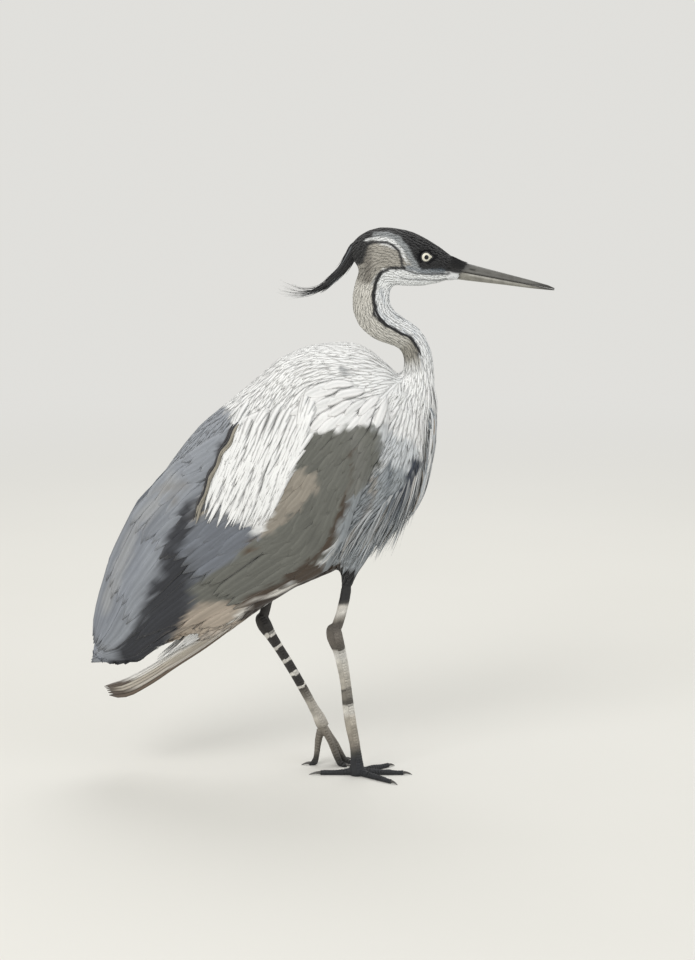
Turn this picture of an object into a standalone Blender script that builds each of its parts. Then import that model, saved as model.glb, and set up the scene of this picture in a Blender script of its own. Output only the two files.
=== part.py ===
"""A standing grey heron at life size, as a still museum model: one closed solid for each part of the bird.

The bird faces +X, its left side is +Y and +Z is up, in metres. It stands on the floor at Z = 0, and the
origin is under the middle of its bounding box. It is built over its right foot, and moved there last.
"""

import math

import bmesh
import bpy
import numpy as np

# Driving dimensions, in metres.
JOIN_GAP = 0.0004  # clear space left where two parts meet
BODY_PITCH = math.radians(39.8)  # slope of the body's long axis
FLOOR = -0.006  # height of the floor while the bird is being built
BODY_REAR = (-0.312, 0.112)  # X and Z of the axis at the folded wings' tips
HEAD_PITCH = math.radians(11.0)  # how far the bill points below the horizontal
BILL_BASE = (0.1165, 0.6078)  # X and Z of the middle of the bill's root
BILL_LENGTH = 0.1200
EYE_BACK = 0.038  # eye behind the bill's root
EYE_ABOVE = 0.0084  # eye above the bill's axis
EYE_RADIUS = 0.0068
EYE_OUT = 0.0122  # eye centre from the midline
RIGHT_LEG_Y = -0.021
LEFT_LEG_Y = 0.021
TOE_HALF_HEIGHT = 0.0036
LEVEL_BELOW = 0.008  # the standing leg's sections lie level under this height
WING_PROUD = 0.0015  # wing surface outside the body's plumage
UNDER_WING = 0.0012  # the body's surface inside its plumage, at the least
WING_THICKNESS = 0.011  # behind the body, where the two wings make a roof over the tail
WING_FORWARD_THICKNESS = 0.06  # added beside the body, past its middle, so that the trunk shapes the inside
WING_MID_GAP = 0.0003  # each wing's own half of the space between the wings over the tail
MANTLE_SINK = 0.0006  # top of the cape inside the plumage's top line
ROUNDNESS = 0.9  # power of the cosine in the plumage's section; below 1 it is fuller than an ellipse
SHARP_EDGE = math.radians(50)  # edges bent more than this aren't shaded smooth
SHORT_STEP = 0.0004  # the least half width that a section shrinks to
CLAW_ROOT = 0.0017  # half height of a claw where it leaves the toe
CLAW_TIP = 0.0004

# Sections along the body, from rear to front: place on the axis, top, underside, half width.
PLUMAGE_SECTIONS = (
    (0.009, 0.0300, 0.0180, 0.008),
    (0.024, 0.0425, -0.0020, 0.013),
    (0.050, 0.0615, -0.0190, 0.019),
    (0.075, 0.0795, -0.0200, 0.023),
    (0.101, 0.0955, -0.0270, 0.027),
    (0.134, 0.1125, -0.0370, 0.032),
    (0.168, 0.1260, -0.0460, 0.037),
    (0.204, 0.1385, -0.0550, 0.043),
    (0.242, 0.1490, -0.0655, 0.049),
    (0.272, 0.1560, -0.0740, 0.054),
    (0.304, 0.1605, -0.0840, 0.060),
    (0.330, 0.1600, -0.0910, 0.064),
    (0.360, 0.1590, -0.0930, 0.068),
    (0.400, 0.1605, -0.0930, 0.071),
    (0.425, 0.1600, -0.0890, 0.070),
    (0.445, 0.1555, -0.0800, 0.067),
    (0.473, 0.1390, -0.0610, 0.060),
    (0.496, 0.1205, -0.0380, 0.047),
    (0.510, 0.0980, -0.0120, 0.032),
    (0.517, 0.0640, 0.0100, 0.016),
)
TRUNK_SECTIONS = (
    (0.235, 0.080, -0.0655, 0.040),
    (0.265, 0.094, -0.0730, 0.046),
    (0.300, 0.108, -0.0830, 0.052),
    (0.353, 0.124, -0.0930, 0.058),
    (0.400, 0.130, -0.0910, 0.061),
    (0.440, 0.125, -0.0760, 0.060),
    (0.474, 0.107, -0.0540, 0.051),
    (0.496, 0.086, -0.0300, 0.038),
    (0.508, 0.065, -0.0060, 0.025),
    (0.514, 0.045, 0.0100, 0.012),
)
# The rump and the coverts round the tail's root.
RUMP_SECTIONS = (
    (0.112, -0.0385, -0.0490, 0.007),
    (0.122, -0.0330, -0.0535, 0.013),
    (0.140, -0.0200, -0.0580, 0.021),
    (0.165, 0.0060, -0.0605, 0.028),
    (0.195, 0.0370, -0.0620, 0.034),
    (0.245, 0.0820, -0.0670, 0.0410),
)
# The wing's lower and upper edge along the body axis: place, lower edge, upper edge.
WING_EDGES = (
    (0.010, 0.0200, 0.0290),
    (0.024, 0.0005, 0.0410),
    (0.050, -0.0165, 0.0600),
    (0.075, -0.0175, 0.0780),
    (0.101, -0.0240, 0.0935),
    (0.134, -0.0330, 0.1105),
    (0.168, -0.0410, 0.1240),
    (0.204, -0.0490, 0.1340),
    (0.242, -0.0580, 0.1360),
    (0.270, -0.0620, 0.1348),
    (0.298, -0.0650, 0.1330),
    (0.340, -0.0500, 0.1280),
    (0.375, -0.0260, 0.1210),
    (0.420, -0.0030, 0.1110),
    (0.455, 0.0130, 0.0970),
    (0.480, 0.0300, 0.0790),
    (0.490, 0.0420, 0.0660),
)
# The cape of back feathers between the wings: place on the body axis, lower edge.
MANTLE_EDGES = (
    (0.206, 0.1345),
    (0.242, 0.1364),
    (0.270, 0.1352),
    (0.298, 0.1334),
    (0.340, 0.1284),
    (0.375, 0.1214),
    (0.420, 0.1114),
    (0.455, 0.0974),
    (0.480, 0.0794),
    (0.490, 0.0664),
    (0.495, 0.0460),
    (0.503, 0.0340),
    (0.510, 0.0280),
    (0.516, 0.0260),
)

# The neck's line from inside the head to inside the breast: X, Z, half depth, half width.
NECK_LINE = (
    (0.0310, 0.6120, 0.0190, 0.0170),
    (0.0215, 0.5940, 0.0225, 0.0175),
    (0.0172, 0.5735, 0.0230, 0.0175),
    (0.0203, 0.5560, 0.0238, 0.0175),
    (0.0317, 0.5428, 0.0225, 0.0172),
    (0.0490, 0.5338, 0.0192, 0.0170),
    (0.0650, 0.5235, 0.0180, 0.0170),
    (0.0728, 0.5075, 0.0190, 0.0175),
    (0.0746, 0.4880, 0.0205, 0.0185),
    (0.0708, 0.4560, 0.0260, 0.0235),
    (0.0640, 0.4230, 0.0315, 0.0290),
)
NECK_CUTS = (0.34, 0.56, 0.78)  # shares of the neck's line where it is parted

# The head along its own axis, from the bill's root backwards: place, top, underside, half width.
HEAD_SECTIONS = (
    (0.000, 0.0122, -0.0120, 0.0098),
    (0.008, 0.0165, -0.0165, 0.0124),
    (0.020, 0.0225, -0.0228, 0.0152),
    (0.037, 0.0293, -0.0288, 0.0180),
    (0.056, 0.0350, -0.0322, 0.0205),
    (0.076, 0.0357, -0.0325, 0.0212),
    (0.097, 0.0328, -0.0290, 0.0198),
    (0.112, 0.0250, -0.0215, 0.0160),
    (0.122, 0.0155, -0.0130, 0.0110),
    (0.1275, 0.0060, -0.0055, 0.0055),
)
# The bill along its length, as shares: place, culmen above the axis, underside below it, half width.
BILL_SECTIONS = (
    (0.00, 0.0117, 0.0115, 0.0092),
    (0.12, 0.0094, 0.0107, 0.0080),
    (0.30, 0.0079, 0.0090, 0.0066),
    (0.50, 0.0064, 0.0071, 0.0054),
    (0.75, 0.0045, 0.0052, 0.0037),
    (0.93, 0.0026, 0.0032, 0.0019),
    (1.00, 0.0006, 0.0022, 0.0008),
)
BILL_SEAM = 0.0012  # the mouth's line, below the bill's axis

# Tapered lengths in one upright plane: X, Z, half depth, half width.
CREST_LINE = (
    (0.0090, 0.6400, 0.0060, 0.0070),
    (-0.0002, 0.6340, 0.0085, 0.0080),
    (-0.0068, 0.6225, 0.0080, 0.0068),
    (-0.0155, 0.6088, 0.0066, 0.0056),
    (-0.0280, 0.5965, 0.0058, 0.0046),
    (-0.0430, 0.5850, 0.0046, 0.0034),
    (-0.0580, 0.5795, 0.0026, 0.0022),
    (-0.0725, 0.5805, 0.0012, 0.0012),
    (-0.0840, 0.5850, 0.0006, 0.0006),
)
BREAST_PLUME_LINE = (
    (0.0870, 0.4480, 0.0050, 0.0160),
    (0.0893, 0.4235, 0.0080, 0.0230),
    (0.0868, 0.3980, 0.0088, 0.0260),
    (0.0815, 0.3700, 0.0088, 0.0255),
    (0.0747, 0.3400, 0.0080, 0.0215),
    (0.0650, 0.3160, 0.0055, 0.0140),
    (0.0550, 0.3000, 0.0018, 0.0050),
)
THIGH_RIGHT_LINE = (
    (0.0060, 0.2980, 0.0260, 0.0220),
    (-0.0030, 0.2680, 0.0200, 0.0180),
    (-0.0085, 0.2450, 0.0120, 0.0110),
    (-0.0120, 0.2260, 0.0082, 0.0074),
)
THIGH_LEFT_LINE = (
    (-0.0660, 0.2720, 0.0260, 0.0200),
    (-0.0840, 0.2440, 0.0210, 0.0160),
    (-0.0985, 0.2220, 0.0130, 0.0110),
    (-0.1055, 0.2075, 0.0084, 0.0075),
)
SHIN_RIGHT_LINE = (
    (-0.0105, 0.2330, 0.0062, 0.0050),
    (-0.0135, 0.2140, 0.0062, 0.0050),
    (-0.0180, 0.1950, 0.0062, 0.0050),
    (-0.0225, 0.1810, 0.0066, 0.0052),
    (-0.0248, 0.1710, 0.0045, 0.0040),
)
SHIN_LEFT_LINE = (
    (-0.1030, 0.2130, 0.0056, 0.0048),
    (-0.1075, 0.2020, 0.0056, 0.0048),
    (-0.1100, 0.1930, 0.0060, 0.0050),
    (-0.1122, 0.1850, 0.0062, 0.0052),
    (-0.1130, 0.1760, 0.0045, 0.0040),
)
TARSUS_RIGHT_LINE = (
    (-0.0262, 0.1825, 0.0030, 0.0030),
    (-0.0266, 0.1795, 0.0072, 0.0060),
    (-0.0266, 0.1735, 0.0094, 0.0074),
    (-0.0252, 0.1660, 0.0098, 0.0074),
    (-0.0205, 0.1520, 0.0080, 0.0060),
    (-0.0165, 0.1340, 0.0072, 0.0052),
    (-0.0120, 0.1060, 0.0064, 0.0048),
    (-0.0090, 0.0780, 0.0071, 0.0050),
    (-0.0055, 0.0540, 0.0070, 0.0050),
    (-0.0015, 0.0340, 0.0064, 0.0050),
    (0.0002, 0.0180, 0.0066, 0.0056),
    (0.0010, 0.0075, 0.0078, 0.0072),
    (0.0010, 0.0000, 0.0094, 0.0088),
    (0.0010, -0.0050, 0.0092, 0.0086),
    (0.0010, -0.0060, 0.0084, 0.0078),
)
TARSUS_LEFT_LINE = (
    (-0.1158, 0.1860, 0.0030, 0.0030),
    (-0.1156, 0.1825, 0.0070, 0.0058),
    (-0.1140, 0.1765, 0.0086, 0.0070),
    (-0.1110, 0.1700, 0.0088, 0.0070),
    (-0.1045, 0.1590, 0.0068, 0.0056),
    (-0.0845, 0.1265, 0.0058, 0.0046),
    (-0.0640, 0.0900, 0.0057, 0.0045),
    (-0.0480, 0.0590, 0.0062, 0.0054),
    (-0.0430, 0.0490, 0.0076, 0.0072),
    (-0.0408, 0.0438, 0.0070, 0.0068),
    (-0.0400, 0.0418, 0.0050, 0.0050),
)
# The tail along its middle line: X, Z, half thickness, half width.
TAIL_LINE = (
    (-0.148, 0.1870, 0.0075, 0.013),
    (-0.186, 0.1620, 0.0066, 0.020),
    (-0.222, 0.1405, 0.0060, 0.025),
    (-0.250, 0.1225, 0.0050, 0.028),
    (-0.284, 0.1055, 0.0034, 0.029),
    (-0.3085, 0.0985, 0.0015, 0.022),
)
TAIL_ARCH = 0.013  # the tail's outer feathers lie this far under its middle

# Toes of a foot that stands flat: name, turn from straight ahead, length, claw length.
STANDING_TOES = (
    ("middle", 0.0, 0.057, 0.012),
    ("inner", 38.0, 0.050, 0.011),
    ("outer", -40.0, 0.054, 0.011),
    ("hind", 180.0, 0.044, 0.016),
)
# Toes of the foot that is rolling off its tips: name, turn, reach along the floor, claw length.
TRAILING_TOES = (
    ("middle", 3.0, 0.037, 0.011),
    ("inner", -20.0, 0.030, 0.010),
    ("outer", 26.0, 0.032, 0.010),
)

COLOURS = {
    "plumage_white": ("E9EAEC", 0.9),
    "plumage_slate": ("74797D", 0.85),
    "plumage_taupe": ("B3AA9B", 0.9),
    "plumage_black": ("222225", 0.8),
    "plumage_buff": ("A39A8C", 0.88),
    "bill_horn": ("7A776E", 0.4),
    "eye": ("EDE8CF", 0.1),
    "leg_scutes": ("6A6156", 0.6),
    "claw_horn": ("242220", 0.4),
}


def clear_scene():
    """Removes every object that the file opened with."""
    for found in list(bpy.data.objects):
        bpy.data.objects.remove(found, do_unlink=True)


def new_collection(name, hidden=False):
    made = bpy.data.collections.new(name)
    bpy.context.scene.collection.children.link(made)
    made.hide_render = hidden
    return made


def material(name):
    """The Principled material of one finish in COLOURS."""
    found = bpy.data.materials.get(name)
    if found:
        return found
    code, roughness = COLOURS[name]
    srgb = [int(code[i : i + 2], 16) / 255 for i in (0, 2, 4)]
    linear = [c / 12.92 if c <= 0.04045 else ((c + 0.055) / 1.055) ** 2.4 for c in srgb]
    made = bpy.data.materials.new(name)
    made.use_nodes = True
    shader = made.node_tree.nodes["Principled BSDF"]
    shader.inputs["Base Color"].default_value = (*linear, 1.0)
    shader.inputs["Roughness"].default_value = roughness
    shader.inputs["Metallic"].default_value = 0.0
    return made


def smooth_rows(rows, knots, places):
    """Rows of numbers at new places, on a smooth curve through the rows at their knots."""
    slope = np.gradient(rows, knots, axis=0)
    places = np.clip(places, knots[0], knots[-1])
    low = np.clip(np.searchsorted(knots, places, side="right") - 1, 0, len(knots) - 2)
    span = (knots[low + 1] - knots[low])[:, None]
    t = (places - knots[low])[:, None] / span
    return (
        (2 * t**3 - 3 * t**2 + 1) * rows[low]
        + (t**3 - 2 * t**2 + t) * span * slope[low]
        + (3 * t**2 - 2 * t**3) * rows[low + 1]
        + (t**3 - t**2) * span * slope[low + 1]
    )


def along(rows, per_span):
    """The rows with smooth rows put between them, per_span steps from each to the next."""
    rows = np.array(rows, float)
    steps = np.linalg.norm(np.diff(rows[:, :2], axis=0), axis=1)
    knots = np.concatenate([[0.0], np.cumsum(steps)])
    places = np.interp(np.arange((len(rows) - 1) * per_span + 1) / per_span, np.arange(len(rows)), knots)
    return smooth_rows(rows, knots, places)


def at_place(rows, place):
    """The numbers of a table at one place of its first column."""
    rows = np.array(rows, float)
    return smooth_rows(rows, rows[:, 0], np.array([place]))[0, 1:].tolist()


def smoothstep(low, high, value):
    t = min(max((value - low) / (high - low), 0.0), 1.0)
    return t * t * (3 - 2 * t)


def on_axis(origin, pitch, place, side, above):
    """A point from its place along a pitched axis, its side and its height over that axis."""
    return (
        origin[0] + place * math.cos(pitch) - above * math.sin(pitch),
        side,
        origin[1] + place * math.sin(pitch) + above * math.cos(pitch),
    )


def add_solid(name, rings, finish, collection):
    """A closed loft through rings of points, all of one count, with flat ends."""
    mesh = bpy.data.meshes.new(name)
    work = bmesh.new()
    loops = [[work.verts.new(point) for point in ring] for ring in rings]
    count = len(loops[0])
    for lower, upper in zip(loops, loops[1:]):
        for i in range(count):
            j = (i + 1) % count
            work.faces.new((lower[i], lower[j], upper[j], upper[i]))
    work.faces.new(list(reversed(loops[0])))
    work.faces.new(loops[-1])
    bmesh.ops.recalc_face_normals(work, faces=work.faces)
    bmesh.ops.triangulate(work, faces=work.faces)  # so that a part and the cutter made from it agree
    work.to_mesh(mesh)
    work.free()
    mesh.shade_smooth()
    mesh.set_sharp_from_angle(angle=SHARP_EDGE)
    solid = bpy.data.objects.new(name, mesh)
    mesh.materials.append(material(finish))
    collection.objects.link(solid)
    return solid


def swelled(solid, cutters, by=JOIN_GAP):
    """A copy of a solid, larger all round by the joining gap, to cut its neighbours with."""
    name = f"cut_{solid.name}"
    found = bpy.data.objects.get(name)
    if found:
        return found
    mesh = solid.data.copy()
    normals = [vertex.normal.copy() for vertex in mesh.vertices]
    for vertex, normal in zip(mesh.vertices, normals):
        vertex.co += normal * by
    cutter = bpy.data.objects.new(name, mesh)
    cutter.hide_render = True
    cutter.display_type = "WIRE"
    cutters.objects.link(cutter)
    return cutter


def boolean(solid, other, operation="DIFFERENCE"):
    cut = solid.modifiers.new(f"{operation.lower()}_{other.name}", "BOOLEAN")
    cut.operation = operation
    cut.solver = "EXACT"
    cut.object = other


def cut_clear(solid, neighbours, cutters):
    """Parts a solid from its neighbours, with the joining gap left between them."""
    for neighbour in neighbours:
        boolean(solid, swelled(neighbour, cutters))


def oval(centre, side, up, half_width, above, below, count, turn=0.0):
    """A ring of points round a centre: an oval with its own reach above and below."""
    centre, side, up = (np.array(v, float) for v in (centre, side, up))
    ring = []
    for step in range(count):
        angle = 2 * math.pi * step / count + turn
        reach = above if math.sin(angle) > 0 else below
        ring.append(tuple(centre + side * half_width * math.cos(angle) + up * reach * math.sin(angle)))
    return ring


def plane_tube_rings(line, side_y, per_span, sides):
    """Rings square to a line that lies in an upright plane at side_y."""
    rows = along(line, per_span)
    directions = np.gradient(rows[:, :2], axis=0)
    rings = []
    for (x, z, depth, width), (dx, dz) in zip(rows, directions):
        size = math.hypot(dx, dz)
        up = (-dz / size, 0.0, dx / size)
        rings.append(oval((x, side_y, z), (0, 1, 0), up, width, depth, depth, sides))
    return rings


def plumage_angle(place, height):
    """The angle round the plumage's section at one height over the axis, and the section's numbers."""
    top, under, half_width = at_place(PLUMAGE_SECTIONS, place)
    middle, half = (top + under) / 2, (top - under) / 2
    angle = math.asin(min(max((height - middle) / half, -1.0), 1.0))
    return angle, middle, half, half_width


def body_arc(place, low, high, count, proud=0.0, side=-1.0):
    """Points of the plumage's surface on one side, from height low to height high over the axis."""
    first, middle, half, half_width = plumage_angle(place, low)
    last = plumage_angle(place, high)[0]
    arc = []
    for angle in np.linspace(first, last, count):
        reach = half_width * math.cos(angle) ** ROUNDNESS + proud
        arc.append(on_axis(BODY_REAR, BODY_PITCH, place, side * reach, middle + half * math.sin(angle)))
    return arc


def trunk_rings(sections, per_span, sides, inside=True):
    """Rings of the body, kept inside the plumage's surface if asked."""
    rings = []
    for place, top, under, half_width in along(sections, per_span):
        ring = []
        for step in range(sides):
            angle = 2 * math.pi * step / sides
            height = (top + under) / 2 + (top - under) / 2 * math.sin(angle)
            outside, _, _, full_width = plumage_angle(place, height)
            reach = half_width * abs(math.cos(angle))
            if inside:
                skin = full_width * math.cos(outside) ** ROUNDNESS - UNDER_WING
                reach = min(reach, max(skin, SHORT_STEP))
            side = math.copysign(reach, math.cos(angle))
            ring.append(on_axis(BODY_REAR, BODY_PITCH, place, side, height))
        rings.append(ring)
    return rings


def make_trunk(birds, cutters):
    """The body from the loins to the breast, with the root of the neck joined to it."""
    trunk = add_solid("trunk", trunk_rings(TRUNK_SECTIONS, 1, 22), "plumage_slate", birds)
    root = add_solid("neck_root", neck_rings(NECK_CUTS[-1], 1.0, 5), "plumage_slate", cutters)
    root.hide_render = True
    root.display_type = "WIRE"
    boolean(trunk, root, "UNION")
    return trunk, root


def neck_rings(first, last, count):
    """Rings of the neck between two shares of its line."""
    rows = along(NECK_LINE, 8)
    directions = np.gradient(rows[:, :2], axis=0)
    steps = np.linalg.norm(np.diff(rows[:, :2], axis=0), axis=1)
    shares = np.concatenate([[0.0], np.cumsum(steps)]) / steps.sum()
    rings = []
    for share in np.linspace(first, last, count):
        x, z, depth, width = (np.interp(share, shares, rows[:, i]) for i in range(4))
        dx, dz = (np.interp(share, shares, directions[:, i]) for i in range(2))
        size = math.hypot(dx, dz)
        up = (-dz / size, 0.0, dx / size)
        rings.append(oval((x, 0.0, z), (0, 1, 0), up, width, depth, depth, 14))
    return rings


def make_neck(head, birds, cutters):
    """Three lengths of the neck, parted by thin flat cuts."""
    line_length = float(np.linalg.norm(np.diff(along(NECK_LINE, 8)[:, :2], axis=0), axis=1).sum())
    half_gap = JOIN_GAP / 2 / line_length
    upper, middle, lower = NECK_CUTS
    necks = [
        add_solid(name, neck_rings(first, last, count), "plumage_taupe", birds)
        for name, first, last, count in (
            ("neck_upper", 0.0, upper - half_gap, 8),
            ("neck_middle", upper + half_gap, middle - half_gap, 7),
            ("neck_lower", middle + half_gap, lower - 2 * half_gap, 7),
        )
    ]
    cut_clear(necks[0], [head], cutters)
    return necks


def make_mantle(neighbours, birds, cutters):
    """The cape of back and shoulder feathers between the wings, over the trunk."""
    rings = []
    for place, edge in MANTLE_EDGES:
        top = at_place(PLUMAGE_SECTIONS, place)[0] - MANTLE_SINK
        right = body_arc(place, edge, top, 6)
        left = body_arc(place, edge, top, 6, side=1.0)
        rings.append(right + left[::-1])
    mantle = add_solid("mantle", rings, "plumage_white", birds)
    cut_clear(mantle, neighbours, cutters)
    return mantle


def make_wing_right(bodies, birds, cutters):
    """The folded right wing: a shell over the trunk's side that closes over the tail behind."""
    rings = []
    for place, low, high in WING_EDGES:
        outer = body_arc(place, low, high, 7, proud=WING_PROUD)
        thick = WING_THICKNESS + WING_FORWARD_THICKNESS * smoothstep(0.15, 0.24, place)
        inner = []
        for step, (x, y, z) in enumerate(outer):
            thinned = thick * min(0.35 + 0.22 * step, 1.0)  # the lower edge is the thinner one
            inner.append((x, -max(-y - thinned, WING_MID_GAP), z))
        inner[-1] = (outer[-1][0], -WING_MID_GAP, outer[-1][2])
        rings.append(outer + inner[::-1])
    wing = add_solid("wing_right", rings, "plumage_slate", birds)
    cut_clear(wing, bodies, cutters)
    return wing


def mirrored(solid, name, birds, cutters, neighbours=()):
    """The same solid on the bird's other side, cut clear of the same neighbours."""
    work = bmesh.new()
    work.from_mesh(solid.data)
    for vertex in work.verts:
        vertex.co.y = -vertex.co.y
    bmesh.ops.reverse_faces(work, faces=work.faces)
    mesh = bpy.data.meshes.new(name)
    work.to_mesh(mesh)
    work.free()
    mesh.shade_smooth()
    mesh.set_sharp_from_angle(angle=SHARP_EDGE)
    mesh.materials.append(solid.data.materials[0])
    made = bpy.data.objects.new(name, mesh)
    birds.objects.link(made)
    cut_clear(made, neighbours, cutters)
    return made


def make_head(birds, cutters):
    """The head with its two sockets, and the two eyes in them."""
    rings = []
    for place, top, under, half_width in along(HEAD_SECTIONS, 1):
        centre = on_axis(BILL_BASE, -HEAD_PITCH, -place, 0.0, 0.0)
        up = (math.sin(HEAD_PITCH), 0.0, math.cos(HEAD_PITCH))
        rings.append(oval(centre, (0, 1, 0), up, half_width, top, -under, 18))
    head = add_solid("head", rings, "plumage_black", birds)
    for name, side in (("eye_right", -1.0), ("eye_left", 1.0)):
        place = on_axis(BILL_BASE, -HEAD_PITCH, -EYE_BACK, side * EYE_OUT, EYE_ABOVE)
        bpy.ops.mesh.primitive_uv_sphere_add(segments=12, ring_count=7, radius=EYE_RADIUS, location=place)
        eye = bpy.context.object
        eye.name = name
        eye.rotation_euler.x = math.radians(90)
        eye.data.materials.append(material("eye"))
        eye.data.shade_smooth()
        for owner in list(eye.users_collection):
            owner.objects.unlink(eye)
        birds.objects.link(eye)
        socket = swelled(eye, cutters)
        socket.location = place
        socket.rotation_euler.x = math.radians(90)
        boolean(head, socket)
    return head


def bill_ring(share, edge, seam, half_width):
    """A half oval with its flat side on the mouth's line, seen from the front."""
    ring = []
    steps = 8
    reach = edge - seam
    for step in range(steps + 1):
        angle = math.pi * step / steps
        ring.append(
            on_axis(
                BILL_BASE,
                -HEAD_PITCH,
                share * BILL_LENGTH + JOIN_GAP,
                half_width * math.cos(angle),
                seam + reach * math.sin(angle) ** 0.9,
            )
        )
    return ring


def make_bill(birds):
    """The two halves of the closed bill, flat against each other along the mouth's line."""
    upper, lower = [], []
    for share, top, under, half_width in along(BILL_SECTIONS, 1):
        seam = -BILL_SEAM * (1 - 0.4 * share)
        upper.append(bill_ring(share, max(top, seam + 0.0012), seam + JOIN_GAP / 2, half_width))
        lower.append(bill_ring(share, min(-under, seam - 0.0009), seam - JOIN_GAP / 2, half_width * 0.94))
    add_solid("bill_upper", upper, "bill_horn", birds)
    add_solid("bill_lower", lower, "bill_horn", birds)


def make_crest(head, neck, birds, cutters):
    """The long black plumes that hang from the back of the crown."""
    crest = add_solid("crest", plane_tube_rings(CREST_LINE, 0.0, 1, 10), "plumage_black", birds)
    cut_clear(crest, [head, neck], cutters)


def make_breast_plumes(neighbours, birds, cutters):
    """The long narrow plumes that hang from the base of the neck over the breast."""
    rings = plane_tube_rings(BREAST_PLUME_LINE, 0.0, 1, 12)
    plumes = add_solid("breast_plumes", rings, "plumage_white", birds)
    cut_clear(plumes, neighbours, cutters)


def make_tail(neighbours, birds, cutters):
    """The short closed tail, arched across, under the wings' tips."""
    rows = along(TAIL_LINE, 2)
    directions = np.gradient(rows[:, :2], axis=0)
    rings = []
    for (x, z, thick, width), (dx, dz) in zip(rows, directions):
        size = math.hypot(dx, dz)
        up_x, up_z = dz / size, -dx / size
        ring = []
        for step in range(12):
            angle = 2 * math.pi * step / 12
            side = math.cos(angle)
            height = thick * math.sin(angle) - TAIL_ARCH * (width / 0.029) * side * side
            ring.append((x + up_x * height, width * side, z + up_z * height))
        rings.append(ring)
    tail = add_solid("tail", rings, "plumage_buff", birds)
    cut_clear(tail, neighbours, cutters)


def toe_rings(path, half_height, joints):
    """Rings along a toe, slightly swollen at its joints, and flat where it meets the floor."""
    rows = along(path, 3)
    directions = np.gradient(rows, axis=0)
    rings = []
    for step, (centre, direction) in enumerate(zip(rows, directions)):
        share = step / (len(rows) - 1)
        swell = 1.0 + 0.10 * math.cos(2 * math.pi * joints * share)
        size = half_height * swell * (1.18 - 0.50 * share)
        ahead = direction / np.linalg.norm(direction)
        side = np.cross((0, 0, 1), ahead)
        side /= np.linalg.norm(side)
        up = np.cross(ahead, side)
        centre[2] = max(centre[2], FLOOR + size)
        ring = oval(centre, side, up, size * 0.98, size, size * 1.3, 8, turn=math.pi / 8)
        rings.append([(x, y, max(z, FLOOR)) for x, y, z in ring])
    return rings


def claw_rings(tip, direction, length, drop):
    """Rings of a claw that leaves a toe's end and curves down to the floor."""
    ahead = np.array(direction, float) / np.linalg.norm(direction)
    rings = []
    for share in np.linspace(0.0, 1.0, 6):
        centre = np.array(tip, float) + ahead * length * (share - 0.12)
        centre[2] = tip[2] + 0.0006 * math.sin(math.pi * share) - drop * share**2
        size = CLAW_ROOT * (1 - share) ** 0.75 + CLAW_TIP
        side = np.cross((0, 0, 1), ahead)
        side /= np.linalg.norm(side)
        ring = oval(centre, side, (0, 0, 1), size * 0.8, size, size, 6)
        rings.append([(x, y, max(z, FLOOR)) for x, y, z in ring])
    return rings


def add_toe(name, path, claw_length, joints, neighbours, birds, cutters, half_height=TOE_HALF_HEIGHT):
    """One toe and its claw, cut clear of the leg and of the toes beside it."""
    toe = add_solid(f"toe_{name}", toe_rings(path, half_height, joints), "leg_scutes", birds)
    cut_clear(toe, neighbours, cutters)
    end, before = np.array(path[-1]), np.array(path[-2])
    ahead = end - before
    ahead[2] = 0.0
    end[2] = FLOOR + half_height * 0.73
    rings = claw_rings(end, ahead, claw_length, end[2] - FLOOR - CLAW_TIP / 2)
    claw = add_solid(f"claw_{name}", rings, "claw_horn", birds)
    cut_clear(claw, [toe], cutters)
    return toe


def make_standing_foot(tarsus, birds, cutters):
    """The right foot's four toes, spread flat on the floor."""
    hub_x = TARSUS_RIGHT_LINE[-1][0]
    done = []
    for name, turn, length, claw_length in STANDING_TOES:
        cos, sin = math.cos(math.radians(turn)), math.sin(math.radians(turn))
        path = [
            (hub_x + cos * length * share, RIGHT_LEG_Y + sin * length * share, FLOOR + height)
            for share, height in ((0.10, 0.0030), (0.35, 0.0), (0.70, 0.0), (1.0, 0.0))
        ]
        joints = {"hind": 1, "inner": 2, "middle": 3, "outer": 4}[name]
        toe = add_toe(f"right_{name}", path, claw_length, joints, [tarsus, *done], birds, cutters)
        done.append(toe)


def make_trailing_foot(tarsus, birds, cutters):
    """The left foot, rolling off the floor: its heel is up, and its front toes bend and lie on their ends."""
    hub_x, hub_z = TARSUS_LEFT_LINE[-1][:2]
    trailing_bend = ((0.0, hub_z + 0.002), (0.33, 0.0250), (0.62, 0.0060), (0.80, FLOOR), (1.0, FLOOR))
    done = []
    for name, turn, reach, claw_length in TRAILING_TOES:
        cos, sin = math.cos(math.radians(turn)), math.sin(math.radians(turn))
        path = [
            (hub_x + cos * reach * share, LEFT_LEG_Y + sin * (reach * share + 0.003), height)
            for share, height in trailing_bend
        ]
        joints = {"inner": 2, "middle": 3, "outer": 4}[name]
        toe = add_toe(f"left_{name}", path, claw_length, joints, [tarsus, *done], birds, cutters)
        done.append(toe)
    path = [
        (hub_x - reach, LEFT_LEG_Y + aside, height)
        for reach, aside, height in (
            (0.001, 0.0, hub_z + 0.001),
            (0.0065, -0.001, 0.0260),
            (0.0085, -0.002, 0.0080),
            (0.0115, -0.003, FLOOR),
            (0.0165, -0.003, FLOOR),
        )
    ]
    add_toe("left_hind", path, 0.012, 1, [tarsus, *done], birds, cutters)


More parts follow.
